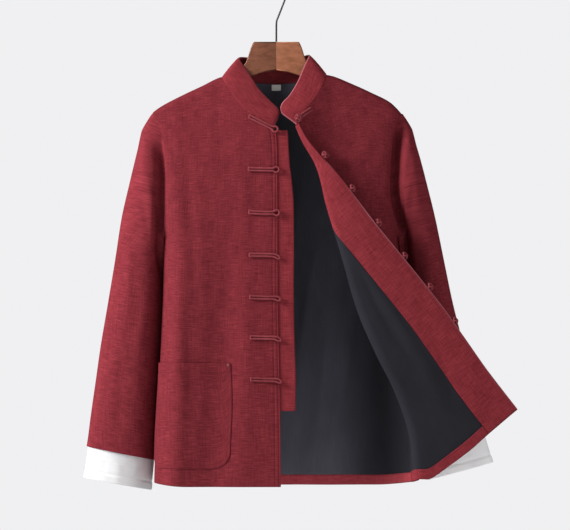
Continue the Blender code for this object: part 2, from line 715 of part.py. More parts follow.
# ------------------------------------------------------------------ facing and linings
FACING_WIDTH = 64
HEM_WIDTH = 17
INNER_LIFT = -(CLOTH + LAYER_GAP)       # first layer on the inner side of a panel
INNER_TOP = 0.006           # where the linings start, below the shoulder and the neck seam
LINING_LEFT_TOP = 0.05
EDGE_MARGIN = 0.6           # the facing ends this far inside the front edge
LEFT_HEM_LINE = 1 - HEM_WIDTH / (FOLD_HEM - FOLD_TOP)


def across_from_edge(width, t):
    """The panel's u at a distance from the front edge, on the flap or round the fold."""
    flap = flap_width(t)
    if width <= flap:
        return 3 - width / flap
    return 2 - (width - flap) / roll_length(t)


def facing_limit(t, apart=0.0):
    """Where the facing meets the lining: on a narrow flap it is the fold itself."""
    return max(across_from_edge(FACING_WIDTH + apart, t), 1.5 - apart / roll_length(t))


def facing_route(share, t):
    """share is 0 to 1 from the lining to where the flap is flat, 1 to 2 to the edge."""
    limit = facing_limit(t)
    split = max(2.0, limit + 0.1)
    if share <= 1:
        return mix(limit, split, share), t
    return mix(split, across_from_edge(EDGE_MARGIN, t), share - 1), t


def lining_left_route(share, t):
    """share is 0 to 1 on the standing part, 1 to 2 round the fold, 2 to 3 on the flap."""
    limit = facing_limit(t, SEAM_INSET)
    fold_end = min(2.0, 1 + (limit - 1) * 0.75)
    if share <= 1:
        return share, t
    if share <= 2:
        return mix(1, fold_end, share - 1), t
    return mix(fold_end, limit, share - 2), t


INNER_ROWS = [t for t in LEFT_ROWS if 0.05 < t < 0.95]
FACING_COLUMNS = [0, 1 / 3, 2 / 3, 1, 1.25, 1.5, 1.75, 2]
INNER_LEFT_COLUMNS = STANDING_COLUMNS[1:] + ROLL_COLUMNS + [2 + n / 5 for n in range(1, 6)]
FACING_ROWS = [0.004, 0.02, 0.05] + INNER_ROWS + [0.96, 0.998]
panel_wall("facing_left", FRONT_LEFT, FACING_COLUMNS, FACING_ROWS, LINING, RED_CLOTH,
           lift=INNER_LIFT, route=facing_route)
panel_wall("lining_front_left", FRONT_LEFT, INNER_LEFT_COLUMNS,
           [LINING_LEFT_TOP] + INNER_ROWS + [LEFT_HEM_LINE], LINING, DARK_LINING,
           lift=INNER_LIFT, route=lining_left_route)
panel_wall("hem_front_left", FRONT_LEFT, INNER_LEFT_COLUMNS, [LEFT_HEM_LINE + 0.001, 0.998],
           LINING, RED_CLOTH, lift=INNER_LIFT, route=lining_left_route)

BACK_HEM_LINE = 1 - HEM_WIDTH / (HEM_DROP - 190)
BACK_INNER_COLUMNS = BACK_COLUMNS[1:-1]
panel_wall("lining_back", BACK_PANEL, BACK_INNER_COLUMNS,
           [INNER_TOP] + ROWS[3:-2] + [BACK_HEM_LINE], LINING, DARK_LINING, lift=INNER_LIFT)
panel_wall("hem_back", BACK_PANEL, BACK_INNER_COLUMNS, [BACK_HEM_LINE + 0.001, 0.998], LINING,
           RED_CLOTH, lift=INNER_LIFT)

# ------------------------------------------------------------------ label
LABEL = 0.6
LABEL_LEFT, LABEL_RIGHT = 0.4887, 0.5253
LABEL_TOP, LABEL_HEM = 0.0065, 0.0218
panel_wall("label", BACK_PANEL, [LABEL_LEFT, (LABEL_LEFT + LABEL_RIGHT) / 2, LABEL_RIGHT],
           [LABEL_TOP, (LABEL_TOP + LABEL_HEM) / 2, LABEL_HEM], LABEL, WHITE_COTTON,
           lift=INNER_LIFT - LINING - 0.6)

# ------------------------------------------------------------------ frogs
# Each frog is a cord doubled into a loop on the right front, and a knot button with two
# straps on the left front.
CORD = 3.2                  # diameter
CORD_APART = 3.7            # between the two runs
LOOP_LENGTH = 52
EYE_RADIUS = 4.8
KNOT = 11.0                 # diameter of the button's ball
KNOT_BEYOND = 6.2           # the ball's middle, outside the front edge
STRAP_LENGTH = 44
CORD_LIFT = CORD / 2 + 0.7  # the cord's middle, above the cloth
LOOP_DROPS = (334.4, 407.5, 480.6, 552.0, 620.5, 691.4)
LOOP_SLOPE = 0.02           # the loops droop a little towards their eyes


def loop_path():
    """The doubled cord, flat: out along one run, round the eye, back along the other."""
    half = CORD_APART / 2
    path = [(0, half), (0.35 * LOOP_LENGTH, half), (0.7 * LOOP_LENGTH, half),
            (0.86 * LOOP_LENGTH, half + 0.2)]
    for n in range(1, 6):
        angle = math.radians(130 - n * 260 / 6)
        path.append((LOOP_LENGTH - EYE_RADIUS + EYE_RADIUS * math.cos(angle),
                     EYE_RADIUS * math.sin(angle)))
    return path + [(x, -y) for x, y in reversed(path[:4])]


def cord(name, points, diameter, material):
    curve = bpy.data.curves.new(name, "CURVE")
    curve.dimensions = "3D"
    curve.bevel_depth = diameter / 2 * MM
    curve.bevel_resolution = 1
    curve.use_fill_caps = True
    line = curve.splines.new("POLY")
    line.points.add(len(points) - 1)
    for target, point in zip(line.points, points):
        target.co = (*point, 1.0)
    thing = bpy.data.objects.new(name, curve)
    curve.materials.append(material)
    PART.objects.link(thing)
    return thing


def on_front(x, drop, lift):
    """A point in front of the flat of the body's front."""
    return body_point(FRONT, x, drop) - Vector((0, lift * MM, 0))


def frog_loop(name, start_x, start_drop, slope, length=LOOP_LENGTH):
    points = []
    for along_loop, up in loop_path():
        out = along_loop * length / LOOP_LENGTH
        x = start_x + (out + up * slope) / math.hypot(1, slope)
        drop = start_drop + (out * slope - up) / math.hypot(1, slope)
        points.append(on_front(x, drop, CORD_LIFT))
    return cord(name, points, CORD, RED_CLOTH)


for NUMBER, DROP in enumerate(LOOP_DROPS, start=1):
    frog_loop(f"loop_{NUMBER}", -48.0 + NUMBER * 0.8, DROP, LOOP_SLOPE)
frog_loop("loop_collar", -46.0, 244.5, 0.50, length=54)


def mesh_of(thing):
    """A curve made a closed mesh, with the curve taken away."""
    bpy.context.view_layer.update()
    graph = bpy.context.evaluated_depsgraph_get()
    mesh = bpy.data.meshes.new_from_object(thing.evaluated_get(graph))
    bpy.data.objects.remove(thing, do_unlink=True)
    bm = bmesh.new()
    bm.from_mesh(mesh)
    bmesh.ops.remove_doubles(bm, verts=bm.verts, dist=1e-6)
    bm.to_mesh(mesh)
    bm.free()
    return mesh


def knot(name, ball, run_a, run_b):
    """A ball with its two straps, joined into one body."""
    bm = bmesh.new()
    bmesh.ops.create_uvsphere(bm, u_segments=10, v_segments=6, radius=KNOT / 2 * MM)
    bmesh.ops.translate(bm, verts=bm.verts, vec=ball)
    mesh = bpy.data.meshes.new(name)
    bm.to_mesh(mesh)
    bm.free()
    mesh.shade_smooth()
    button = place(name, mesh, RED_CLOTH)
    for index, run in enumerate((run_a, run_b)):
        strap_mesh = mesh_of(cord(f"{name}_strap_{index}", run, CORD, RED_CLOTH))
        strap = bpy.data.objects.new(f"{name}_strap_{index}", strap_mesh)
        CUTTERS.objects.link(strap)
        strap.hide_render = True
        strap.display_type = "WIRE"
        union = button.modifiers.new(f"strap_{index}", "BOOLEAN")
        union.operation = "UNION"
        union.object = strap
    return button


CUTTERS = collection_named("joined_pieces")


def front_edge_share(length):
    """The share down the flap at a length along its front edge."""
    low, walked, last = 0.0, 0.0, flap_edge_at(0.0)
    while walked < length and low < 1.0:
        low += 0.002
        here = flap_edge_at(low)
        walked += math.dist(last, here)
        last = here
    return low


def knot_on_flap(name, length):
    """A knot on the outer side of the flap, its straps square to the front edge."""
    t = front_edge_share(length)
    edge = skin(FRONT_LEFT, 3, t, CORD_LIFT)
    inner = skin(FRONT_LEFT, 3 - 20 / flap_width(t), t, CORD_LIFT)
    out = (edge - inner).normalized()
    down = (flap_point(1, t + 0.01) - flap_point(1, t - 0.01)).normalized()
    reach = min(STRAP_LENGTH, flap_width(t) * 0.8)
    runs = []
    for offset in (-CORD_APART / 2, CORD_APART / 2):
        run = [edge + out * (KNOT_BEYOND - 3) * MM + down * offset * 0.5 * MM]
        for back_by in (0.03, 0.35, 0.7, 1.0):
            run.append(skin(FRONT_LEFT, 3 - back_by * reach / flap_width(t), t, CORD_LIFT)
                       + down * offset * MM)
        runs.append(run)
    knot(name, edge + out * KNOT_BEYOND * MM, *runs)


KNOT_LENGTHS = [drop - FOLD_TOP - 5 for drop in LOOP_DROPS]
for NUMBER, LENGTH in enumerate(KNOT_LENGTHS, start=1):
    knot_on_flap(f"knot_{NUMBER}", LENGTH)

# The collar's knot lies on the left front, beside the neck seam.
COLLAR_KNOT_X, COLLAR_KNOT_DROP, COLLAR_KNOT_SLOPE = 38.0, 247.5, 0.72
NEAR_FOLD_COLUMNS = [0.5 + n / 40 for n in range(81)]
NEAR_FOLD_ROWS = [n / 200 for n in range(31)]


def on_left_front(x, drop, lift):
    """A point in front of whatever part of the left front stands furthest out near it."""
    flat = body_point(FRONT, x, drop)
    near = KNOT * 0.4 * MM
    depths = [flat.y]
    for column in NEAR_FOLD_COLUMNS:
        for row in NEAR_FOLD_ROWS:
            point = front_left(column, row)
            if math.hypot(point.x - flat.x, point.z - flat.z) < near:
                depths.append(point.y)
    return Vector((flat.x, min(depths) - lift * MM, flat.z))


def collar_knot():
    runs = []
    for offset in (-CORD_APART / 2, CORD_APART / 2):
        run = []
        for out in (1.5, 6, 13, 20, 27):
            x = COLLAR_KNOT_X + (out + offset * COLLAR_KNOT_SLOPE) / math.hypot(
                1, COLLAR_KNOT_SLOPE)
            drop = COLLAR_KNOT_DROP - (out * COLLAR_KNOT_SLOPE - offset) / math.hypot(
                1, COLLAR_KNOT_SLOPE)
            run.append(on_left_front(x, drop, CORD_LIFT - 0.4 + 3 * (1 - ease(out / 8))))
        runs.append(run)
    knot("knot_collar", on_left_front(COLLAR_KNOT_X, COLLAR_KNOT_DROP, KNOT / 2 + 0.4), *runs)


collar_knot()

# ------------------------------------------------------------------ hanger
# Two flat wooden halves, glued on the middle line, and a wire hook.
WOOD = 10.4                 # thickness of the board
WOOD_EDGE = 3.6
WOOD_TOP = 116.8
GLUE_GAP = 0.3
WOOD_UNDER_CLOTH = CLOTH + 1.9      # the arm's upper edge, below the shoulder line
ARM_END = 187
ARM_SLOPE = math.radians(28)
WOOD_BY_COLLAR, COLLAR_CLEAR = 3.8, 24        # the arm is lower, by the collar
OutlinePoint = namedtuple("OutlinePoint", "x drop")
WOOD_HEAD = (               # from the middle out to where the arm meets the shoulder
    OutlinePoint(0, WOOD_TOP), OutlinePoint(39.0, WOOD_TOP), OutlinePoint(43.5, 126.5),
    OutlinePoint(47.0, 138), OutlinePoint(51.2, 150), OutlinePoint(60.5, 166),
)
WOOD_BELLY = (              # the lower edge, from the arm's end back to the middle
    OutlinePoint(188, 246), OutlinePoint(174, 240), OutlinePoint(150, 229),
    OutlinePoint(110, 209), OutlinePoint(75, 191), OutlinePoint(43, 175.5),
    OutlinePoint(20, 168), OutlinePoint(0, 165),
)
ARM_POINTS = (80, 90, 104, 122, 142, 160, 176, ARM_END)


def wood_outline(side):
    arm = [OutlinePoint(x, shoulder_drop(side * x) + WOOD_UNDER_CLOTH / math.cos(ARM_SLOPE)
                        + WOOD_BY_COLLAR * (1 - ease((x - ARM_POINTS[0]) / COLLAR_CLEAR)))
           for x in ARM_POINTS]
    points = list(WOOD_HEAD) + arm + [OutlinePoint(ARM_END + 4, arm[-1].drop + 7)]
    points += list(WOOD_BELLY)
    return [(side * max(point.x, GLUE_GAP / 2), -point.drop) for point in points]


def hanger_half(name, side):
    outline = wood_outline(side)
    curve = bpy.data.curves.new(name + "_outline", "CURVE")
    curve.dimensions = "2D"
    curve.fill_mode = "BOTH"
    curve.extrude = WOOD / 2 * MM
    line = curve.splines.new("POLY")
    line.points.add(len(outline) - 1)
    for target, (x, height) in zip(line.points, outline):
        target.co = (x * MM, height * MM, 0, 1)
    line.use_cyclic_u = True
    flat = bpy.data.objects.new(name + "_outline", curve)
    PART.objects.link(flat)
    mesh = mesh_of(flat)
    half = place(name, mesh, BROWN_WOOD)
    half.rotation_euler = (math.radians(90), 0, 0)
    weld = half.modifiers.new("weld", "WELD")
    weld.merge_threshold = 0.00001
    rounding = half.modifiers.new("rounding", "BEVEL")
    rounding.width = WOOD_EDGE * MM
    rounding.segments = 2
    rounding.limit_method = "ANGLE"
    rounding.angle_limit = math.radians(60)
    return half


hanger_half("hanger_right", RIGHT)
hanger_half("hanger_left", LEFT)

HOOK_WIRE = 3.2
HOOK_BEND = 22.0            # radius of the hook, at the middle of the wire
HOOK_SLANT = math.radians(20.4)
HOOK_TIP_ANGLE = math.radians(205)
HOOK_STEM_TOP = 81.0        # where the straight stem starts to slant


def hook_points():
    centre = HOOK_BEND - HOOK_WIRE / 2
    points = [(0, WOOD_TOP - 0.3), (0, 100), (0, HOOK_STEM_TOP + 5), (0.6, HOOK_STEM_TOP - 1)]
    for share in (0.1, 0.4, 0.7):
        points.append((share * HOOK_BEND * math.cos(HOOK_SLANT) + 0.6,
                       mix(HOOK_STEM_TOP, centre + HOOK_BEND * math.sin(HOOK_SLANT), share)))
    steps = 16
    for n in range(steps + 1):
        angle = mix(-HOOK_SLANT, HOOK_TIP_ANGLE, n / steps)
        points.append((HOOK_BEND * math.cos(angle), centre - HOOK_BEND * math.sin(angle)))
    return [at_point(x, 0, drop) for x, drop in points]


cord("hanger_hook", hook_points(), HOOK_WIRE, BLACK_WIRE).data.bevel_resolution = 2
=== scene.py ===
import math
from bisect import bisect_right
from collections import namedtuple
from functools import cache, partial, reduce

import bmesh
import bpy
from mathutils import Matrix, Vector


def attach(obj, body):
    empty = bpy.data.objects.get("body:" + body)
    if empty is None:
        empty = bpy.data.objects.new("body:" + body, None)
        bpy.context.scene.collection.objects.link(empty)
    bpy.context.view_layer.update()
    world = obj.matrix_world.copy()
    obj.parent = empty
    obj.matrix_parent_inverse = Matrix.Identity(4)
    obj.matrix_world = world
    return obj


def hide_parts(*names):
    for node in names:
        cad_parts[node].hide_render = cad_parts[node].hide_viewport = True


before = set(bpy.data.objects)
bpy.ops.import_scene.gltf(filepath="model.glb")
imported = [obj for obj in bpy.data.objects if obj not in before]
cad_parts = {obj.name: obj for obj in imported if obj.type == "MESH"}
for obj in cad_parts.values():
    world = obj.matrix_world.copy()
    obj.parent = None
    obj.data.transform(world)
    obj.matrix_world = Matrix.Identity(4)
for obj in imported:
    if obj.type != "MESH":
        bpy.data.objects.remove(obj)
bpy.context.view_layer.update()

# ------------------------------------------------------------------ camera, light, floor
# A long lens, level with the middle of the jacket and straight in front of it.  Light comes
# from a panel at the upper left and a pale sky, which looks white behind the jacket.
MM = 0.001
FRAME_WIDTH, FRAME_MIDDLE_X, FRAME_MIDDLE_DROP = 969, 14.8, 497.6
CAMERA_AWAY = 12000
SENSOR_WIDTH = 36
CLOTH_PLANE = -45           # y of the plane that the frame's width is measured in


def at_point(x, y, drop):
    return Vector((x, y, -drop)) * MM


class Nodes:
    """Adds nodes to a tree and links them, left to right."""

    def __init__(self, tree):
        self.tree = tree

    def fill(self, node, **inputs):
        """Give a node's inputs, by name or as i0 or i1 by number, a value or a link."""
        for key, value in inputs.items():
            socket = node.inputs[int(key[1:]) if key[1:].isdigit() else key.replace("_", " ")]
            if isinstance(value, bpy.types.NodeSocket):
                self.tree.links.new(value, socket)
            else:
                socket.default_value = value
        return node

    def add(self, kind, settings=None, **inputs):
        node = self.tree.nodes.new("ShaderNode" + kind)
        for key, value in (settings or {}).items():
            setattr(node, key, value)
        return self.fill(node, **inputs)

    def shade(self, **inputs):
        """Set the material's own shader."""
        return self.fill(self.tree.nodes["Principled BSDF"], **inputs)

    def base_color(self):
        """What feeds the shader's colour so far."""
        return self.tree.nodes["Principled BSDF"].inputs["Base Color"].links[0].from_socket

    def math(self, operation, a, b=0.0):
        return self.add("Math", {"operation": operation}, i0=a, i1=b).outputs[0]

    def total(self, *parts):
        """The sum of sockets, each times its weight."""
        return reduce(partial(self.math, "ADD"),
                      [self.math("MULTIPLY", socket, weight) for socket, weight in parts])

    def wave(self, value, pitch):
        """-1 to 1 along a value in metres, once for each pitch in millimetres."""
        return self.math("SINE", self.math("MULTIPLY", value, math.tau / (pitch * MM)))

    def noise(self, place, stretch, detail=2.0, roughness=0.5, output="Fac"):
        """Noise with this many spots for each metre along x, y and z."""
        stretched = self.add("Mapping", Vector=place, Scale=stretch).outputs[0]
        return self.add("TexNoise", Vector=stretched, Scale=1.0, Detail=detail,
                        Roughness=roughness).outputs[output]

    def ramp(self, value, *stops):
        ramp = self.add("ValToRGB", Fac=value)
        while len(ramp.color_ramp.elements) < len(stops):
            ramp.color_ramp.elements.new(0.5)
        for element, (position, color) in zip(ramp.color_ramp.elements, stops):
            element.position = position
            element.color = (*color, 1)
        return ramp.outputs["Color"]


def add_object(name, data, *materials):
    for material in materials:
        data.materials.append(material)
    made = bpy.data.objects.new(name, data)
    bpy.context.scene.collection.objects.link(made)
    return made


def mesh_object(name, bm, *materials):
    """Turn a finished bmesh into an object."""
    mesh = bpy.data.meshes.new(name)
    bm.to_mesh(mesh)
    bm.free()
    return add_object(name, mesh, *materials)


def new_material(name):
    material = bpy.data.materials.new(name)
    material.use_nodes = True
    return material, Nodes(material.node_tree)


camera = add_object("camera", bpy.data.cameras.new("camera"))
camera.data.sensor_width = SENSOR_WIDTH
camera.data.lens = SENSOR_WIDTH * CAMERA_AWAY / FRAME_WIDTH
camera.data.dof.use_dof = False
camera.location = at_point(FRAME_MIDDLE_X, CLOTH_PLANE - CAMERA_AWAY, FRAME_MIDDLE_DROP)
camera.rotation_euler = (math.radians(90), 0, 0)
bpy.context.scene.camera = camera
bpy.context.scene.view_settings.view_transform = "Standard"

world = bpy.data.worlds.new("pale_studio")
world.use_nodes = True
n = Nodes(world.node_tree)
sky = n.fill(world.node_tree.nodes["Background"], Color=(0.97, 0.98, 1.0, 1), Strength=0.31)
backdrop = n.add("Background", Color=(0.87, 0.87, 0.885, 1))
seen = n.add("LightPath").outputs["Is Camera Ray"]
mixed = n.add("MixShader", i0=seen, i1=sky.outputs[0], i2=backdrop.outputs[0])
n.fill(world.node_tree.nodes["World Output"], Surface=mixed.outputs[0])
bpy.context.scene.world = world

PanelLight = namedtuple("PanelLight", "name x y drop size power")
AIM = (0, 0, 500)
for light in (PanelLight("key", -2350, -1000, -680, 1.1, 152),
              PanelLight("fill", 2500, -2200, 250, 1.8, 26),
              PanelLight("behind", -900, 2200, -700, 1.6, 40)):
    lamp = add_object(light.name, bpy.data.lights.new(light.name, "AREA"))
    lamp.data.size = light.size
    lamp.data.energy = light.power
    lamp.location = at_point(light.x, light.y, light.drop)
    aim = at_point(*AIM) - lamp.location
    lamp.rotation_euler = aim.to_track_quat("-Z", "Y").to_euler()

FLOOR_DROP, FLOOR_SIZE = 1350, 19
bm = bmesh.new()
bmesh.ops.create_grid(bm, x_segments=1, y_segments=1, size=FLOOR_SIZE / 2)
bmesh.ops.translate(bm, verts=bm.verts, vec=at_point(0, 0, FLOOR_DROP))
floor_paint, n = new_material("pale_floor")
n.shade(Base_Color=(0.72, 0.72, 0.73, 1), Roughness=0.9, Emission_Color=(0.40, 0.40, 0.41, 1),
        Emission_Strength=n.add("LightPath").outputs["Is Camera Ray"])
floor = mesh_object("floor", bm, floor_paint)

# ------------------------------------------------------------------ red cloth
# Slubby linen and cotton: plain weave with uneven weft threads that run across, worn a
# little paler on the raised threads.  The piece's own UV is in metres of cloth.
WEFT_PITCH, WARP_PITCH = 1.0, 0.9
BUMP_DEPTH = 0.5


def start_weave(name):
    """A node group that turns a place on the cloth into the weave's tone and height."""
    tree = bpy.data.node_groups.new(name, "ShaderNodeTree")
    tree.interface.new_socket("Vector", in_out="INPUT", socket_type="NodeSocketVector")
    for output in ("Tone", "Height"):
        tree.interface.new_socket(output, in_out="OUTPUT", socket_type="NodeSocketFloat")
    place = tree.nodes.new("NodeGroupInput").outputs["Vector"]
    n = Nodes(tree)
    return tree, n, place, n.add("SeparateXYZ", Vector=place).outputs


def finish_weave(n, tone, height):
    n.fill(n.tree.nodes.new("NodeGroupOutput"), Tone=tone, Height=height)


slub_weave, n, place, axes = start_weave("slub_weave")
weft = n.noise(place, (42, 640, 1), 3.0, 0.6)
weft_fine = n.noise(place, (110, 1000, 1))
warp = n.noise(place, (560, 26, 1), 3.0, 0.6)
mottle = n.noise(place, (45, 30, 1), 3.0)
checks = n.math("MULTIPLY", n.wave(axes[0], WARP_PITCH), n.wave(axes[1], WEFT_PITCH))
threads = n.total((weft, 0.42), (warp, 0.24), (weft_fine, 0.22))
finish_weave(n, n.total((threads, 1.0), (mottle, 0.12), (checks, 0.05)),
             n.total((threads, 1.4), (checks, 0.3)))


def cloth_material(name, weave, stops, roughness, sheen, bump, coordinate="UV", gloss=0.07,
                   **finish):
    """A cloth whose colour follows the weave's tone and whose bump follows its height."""
    material, n = new_material(name)
    woven = n.add("Group", {"node_tree": weave}, Vector=n.add("TexCoord").outputs[coordinate])
    relief = n.add("Bump", Height=woven.outputs["Height"], Strength=bump,
                   Distance=BUMP_DEPTH * MM)
    n.shade(Base_Color=n.ramp(woven.outputs["Tone"], *stops), Normal=relief.outputs["Normal"],
            Roughness=roughness, Specular_IOR_Level=gloss, Sheen_Weight=sheen,
            Sheen_Roughness=0.5, Sheen_Tint=(*stops[-1][1], 1), **finish)
    return material


def red_slub(name, *tones, bump=0.6):
    """The jacket's cloth, in its tone for hollows, flat threads and raised slubs."""
    return cloth_material(name, slub_weave, list(zip((0.35, 0.50, 0.65), tones)), 0.92, 0.05,
                          bump, gloss=0.0)


RED_CLOTH = red_slub("red_slub", (0.081, 0.0108, 0.0148), (0.146, 0.0194, 0.0258),
                     (0.226, 0.0330, 0.0415))
RED_CORD = cloth_material(
    "red_cord", slub_weave, ((0.30, (0.135, 0.0205, 0.026)), (0.70, (0.255, 0.049, 0.058))),
    0.85, 0.15, 0.5, coordinate="Object")

# ------------------------------------------------------------------ right front
# One panel of red cloth from the shoulder to the hem, sewn to the back at the shoulder and
# the side, its front edge stitched twice.  Its section also holds the table of the body's
# cross sections and the curved surface that all pieces of the body lie on.
def table(kind, *rows):
    return [kind(*row) for row in rows]


CLOTH = 1.4
SEAM_INSET = 0.15
HEM_DROP = 875.0
FRONT, BACK = -1, 1
RIGHT, LEFT = -1, 1
SIDES = {RIGHT: "right", LEFT: "left"}
BodyLevel = namedtuple("BodyLevel", "drop right left front back")
BODY = table(
    BodyLevel,
    (239, 212, 215, 40, 30), (262, 199, 204, 42, 31), (285, 193, 198, 44, 32),
    (336, 187, 193, 47, 34), (385, 188, 193, 50, 35), (450, 191, 207, 53, 37),
    (560, 194, 215, 56, 39), (645, 198, 222, 58, 40), (780, 206, 229, 60, 42),
    (875, 209, 234, 61, 43))
SHOULDER_DROP, UNDERARM_DROP = 239, 450
SHOULDER_SHARE = 0.52       # of a front's top edge; the neck seam takes the rest
CORNER_WIDTH = 48
ARMHOLE_TURN = math.radians(58)
SHOULDER_ROLL = 14
DRAPE = 90
NECK_EASE, NECK_REACH, NECK_EASE_FROM, NECK_EASE_FULL, NECK_EASE_FADE = 13, 96, 15, 20, 140
EVEN_BELOW = 150            # below the top edge, where columns stand at even steps of cloth
ShoulderPoint = namedtuple("ShoulderPoint", "out right_drop left_drop")
SHOULDER = table(
    ShoulderPoint,
    (0, 168, 164), (90, 175.3, 173.4), (128, 192.5, 187.8), (162, 208.5, 203.2),
    (195, 225.8, 220), (214, 239, 239))
SeamPoint = namedtuple("SeamPoint", "x drop")
NECK_SEAM_RIGHT = table(
    SeamPoint,
    (-92.3, 176.3), (-80.4, 196.7), (-66.8, 215.4), (-49.8, 234.1), (-27.7, 251.1),
    (-3.9, 263.0))
HangingFold = namedtuple("HangingFold", "face top_x hem_x start width height")
HANGING_FOLDS = table(
    HangingFold,
    (FRONT, -160, -176, 330, 20, 5.0), (FRONT, -104, -112, 420, 22, -4.5),
    (FRONT, -52, -60, 560, 24, 2.5), (BACK, -120, -128, 380, 24, 5.0),
    (BACK, -58, -66, 460, 20, -4.0), (BACK, 30, 38, 320, 16, 5.0), (BACK, 78, 92, 380, 18, -4.5),
    (BACK, 138, 154, 420, 22, 5.0))
FOLD_GROWTH = 260


def mix(a, b, f):
    return a + (b - a) * f


def spread(count, start=0, end=1):
    """Even steps from start to end, both included."""
    return [mix(start, end, step / count) for step in range(count + 1)]


def ease(f):
    """0 to 1 with a level start and end."""
    f = min(max(f, 0.0), 1.0)
    return f * f * (3 - 2 * f)


def curve_at(rows, column, at):
    """Read a column of a table at a value of its first one, as a smooth curve."""
    keys = [row[0] for row in rows]
    values = [getattr(row, column) for row in rows]
    at = min(max(at, keys[0]), keys[-1])
    last = len(keys) - 2
    i = min(bisect_right(keys, at) - 1, last)

    def slope(k):
        low, high = max(k - 1, 0), min(k + 1, len(keys) - 1)
        return (values[high] - values[low]) / (keys[high] - keys[low])

    span = keys[i + 1] - keys[i]
    f = (at - keys[i]) / span
    return (values[i] * (1 + 2 * f) * (1 - f) ** 2 + values[i + 1] * f * f * (3 - 2 * f)
            + span * (slope(i) * f * (1 - f) ** 2 - slope(i + 1) * f * f * (1 - f)))


def along(points, fraction):
    """The (x, drop) at a fraction of the length of a chain of seam points."""
    lengths = [math.dist(a, b) for a, b in zip(points, points[1:])]
    left = min(max(fraction, 0.0), 1.0) * sum(lengths)
    for a, b, length in zip(points, points[1:], lengths):
        if left <= length:
            return mix(a[0], b[0], left / length), mix(a[1], b[1], left / length)
        left -= length
    return points[-1][0], points[-1][1]


@cache
def body_edge(side, drop):
    return side * curve_at(BODY, SIDES[side], drop)


def shoulder_drop(x):
    return curve_at(SHOULDER, "right_drop" if x < 0 else "left_drop", abs(x))


def armhole_turn(drop):
    """Angle round the side at which a panel starts: 0 at the side seam."""
    depth = (drop - SHOULDER_DROP) / (UNDERARM_DROP - SHOULDER_DROP)
    return ARMHOLE_TURN * math.sqrt(1 - min(max(depth, 0.0), 1.0) ** 3)


@cache
def full_depth(face, drop):
    return curve_at(BODY, "front" if face == FRONT else "back", drop)


def face_depth(face, x, drop):
    """How far the flat of a face stands from the middle plane."""
    full = full_depth(face, drop)
    below = max(drop - shoulder_drop(x), 0.0)
    if below < SHOULDER_ROLL:
        depth = math.sqrt(SHOULDER_ROLL ** 2 - (SHOULDER_ROLL - below) ** 2)
    else:
        depth = mix(SHOULDER_ROLL, full, 1 - math.exp(-(below - SHOULDER_ROLL) / DRAPE))
    reach = max(0.0, 1 - (x / NECK_REACH) ** 2)
    depth += (NECK_EASE * reach * min(below / NECK_EASE_FROM, 1.0)
              * math.exp(-max(below - NECK_EASE_FULL, 0) / NECK_EASE_FADE))
    for fold in HANGING_FOLDS:
        if fold.face == face and drop > fold.start:
            centre = mix(fold.top_x, fold.hem_x, (drop - fold.start) / (HEM_DROP - fold.start))
            swell = fold.height * ease((drop - fold.start) / FOLD_GROWTH)
            depth += swell * math.exp(-((x - centre) / fold.width) ** 2)
    return depth


def side_turn(side, x, drop):
    """Sine of the angle round the side: 0 at the side seam, 1 where the face is flat."""
    outer = abs(body_edge(side, drop)) + CORNER_WIDTH * (1 - math.cos(armhole_turn(drop)))
    inward = min((outer - side * x) / CORNER_WIDTH, 1.0)
    return math.sqrt(max(1 - (1 - inward) ** 2, 0.0))


def body_point(face, x, drop):
    side = RIGHT if x < 0 else LEFT
    y = max(face_depth(face, x, drop) * side_turn(side, x, drop), SEAM_INSET)
    return at_point(x, face * y, drop)


def share_across(side, s, drop, front_x):
    """Share of the width, 1 at the side and 0 at the front edge, at even steps of cloth."""
    start = armhole_turn(drop)
    width = abs(body_edge(side, drop) - front_x)
    corner = CORNER_WIDTH * (math.pi / 2 - start)
    corner_width = CORNER_WIDTH * math.cos(start)
    walked = s * (corner + width - corner_width)
    if walked < corner:
        turned = start + walked / CORNER_WIDTH
        inward = CORNER_WIDTH * (math.cos(start) - math.cos(turned))
    else:
        inward = corner_width + walked - corner
    return 1 - inward / width


def hanging_x(side, s, drop, top_x, top_drop, front_x):
    """x of a column that starts on a seam at the top and ends at even steps of cloth."""
    front_at, top_front = front_x(drop), front_x(top_drop)
    top_share = (top_x - top_front) / (body_edge(side, top_drop) - top_front)
    low_share = share_across(side, s, drop, front_at)
    share = mix(top_share, low_share, ease((drop - top_drop) / EVEN_BELOW))
    return mix(front_at, body_edge(side, drop), share)


def top_seam(side, neck_seam, s):
    """The top edge of a front: along the shoulder, then along the neck seam."""
    if s < SHOULDER_SHARE:
        x = mix(body_edge(side, SHOULDER_DROP), neck_seam[0].x, s / SHOULDER_SHARE)
        return x, shoulder_drop(x)
    return along(neck_seam, (s - SHOULDER_SHARE) / (1 - SHOULDER_SHARE))


def run_lengths(points):
    """How far along a chain each of its points lies."""
    run = [0.0]
    for a, b in zip(points, points[1:]):
        run.append(run[-1] + (b - a).length)
    return run


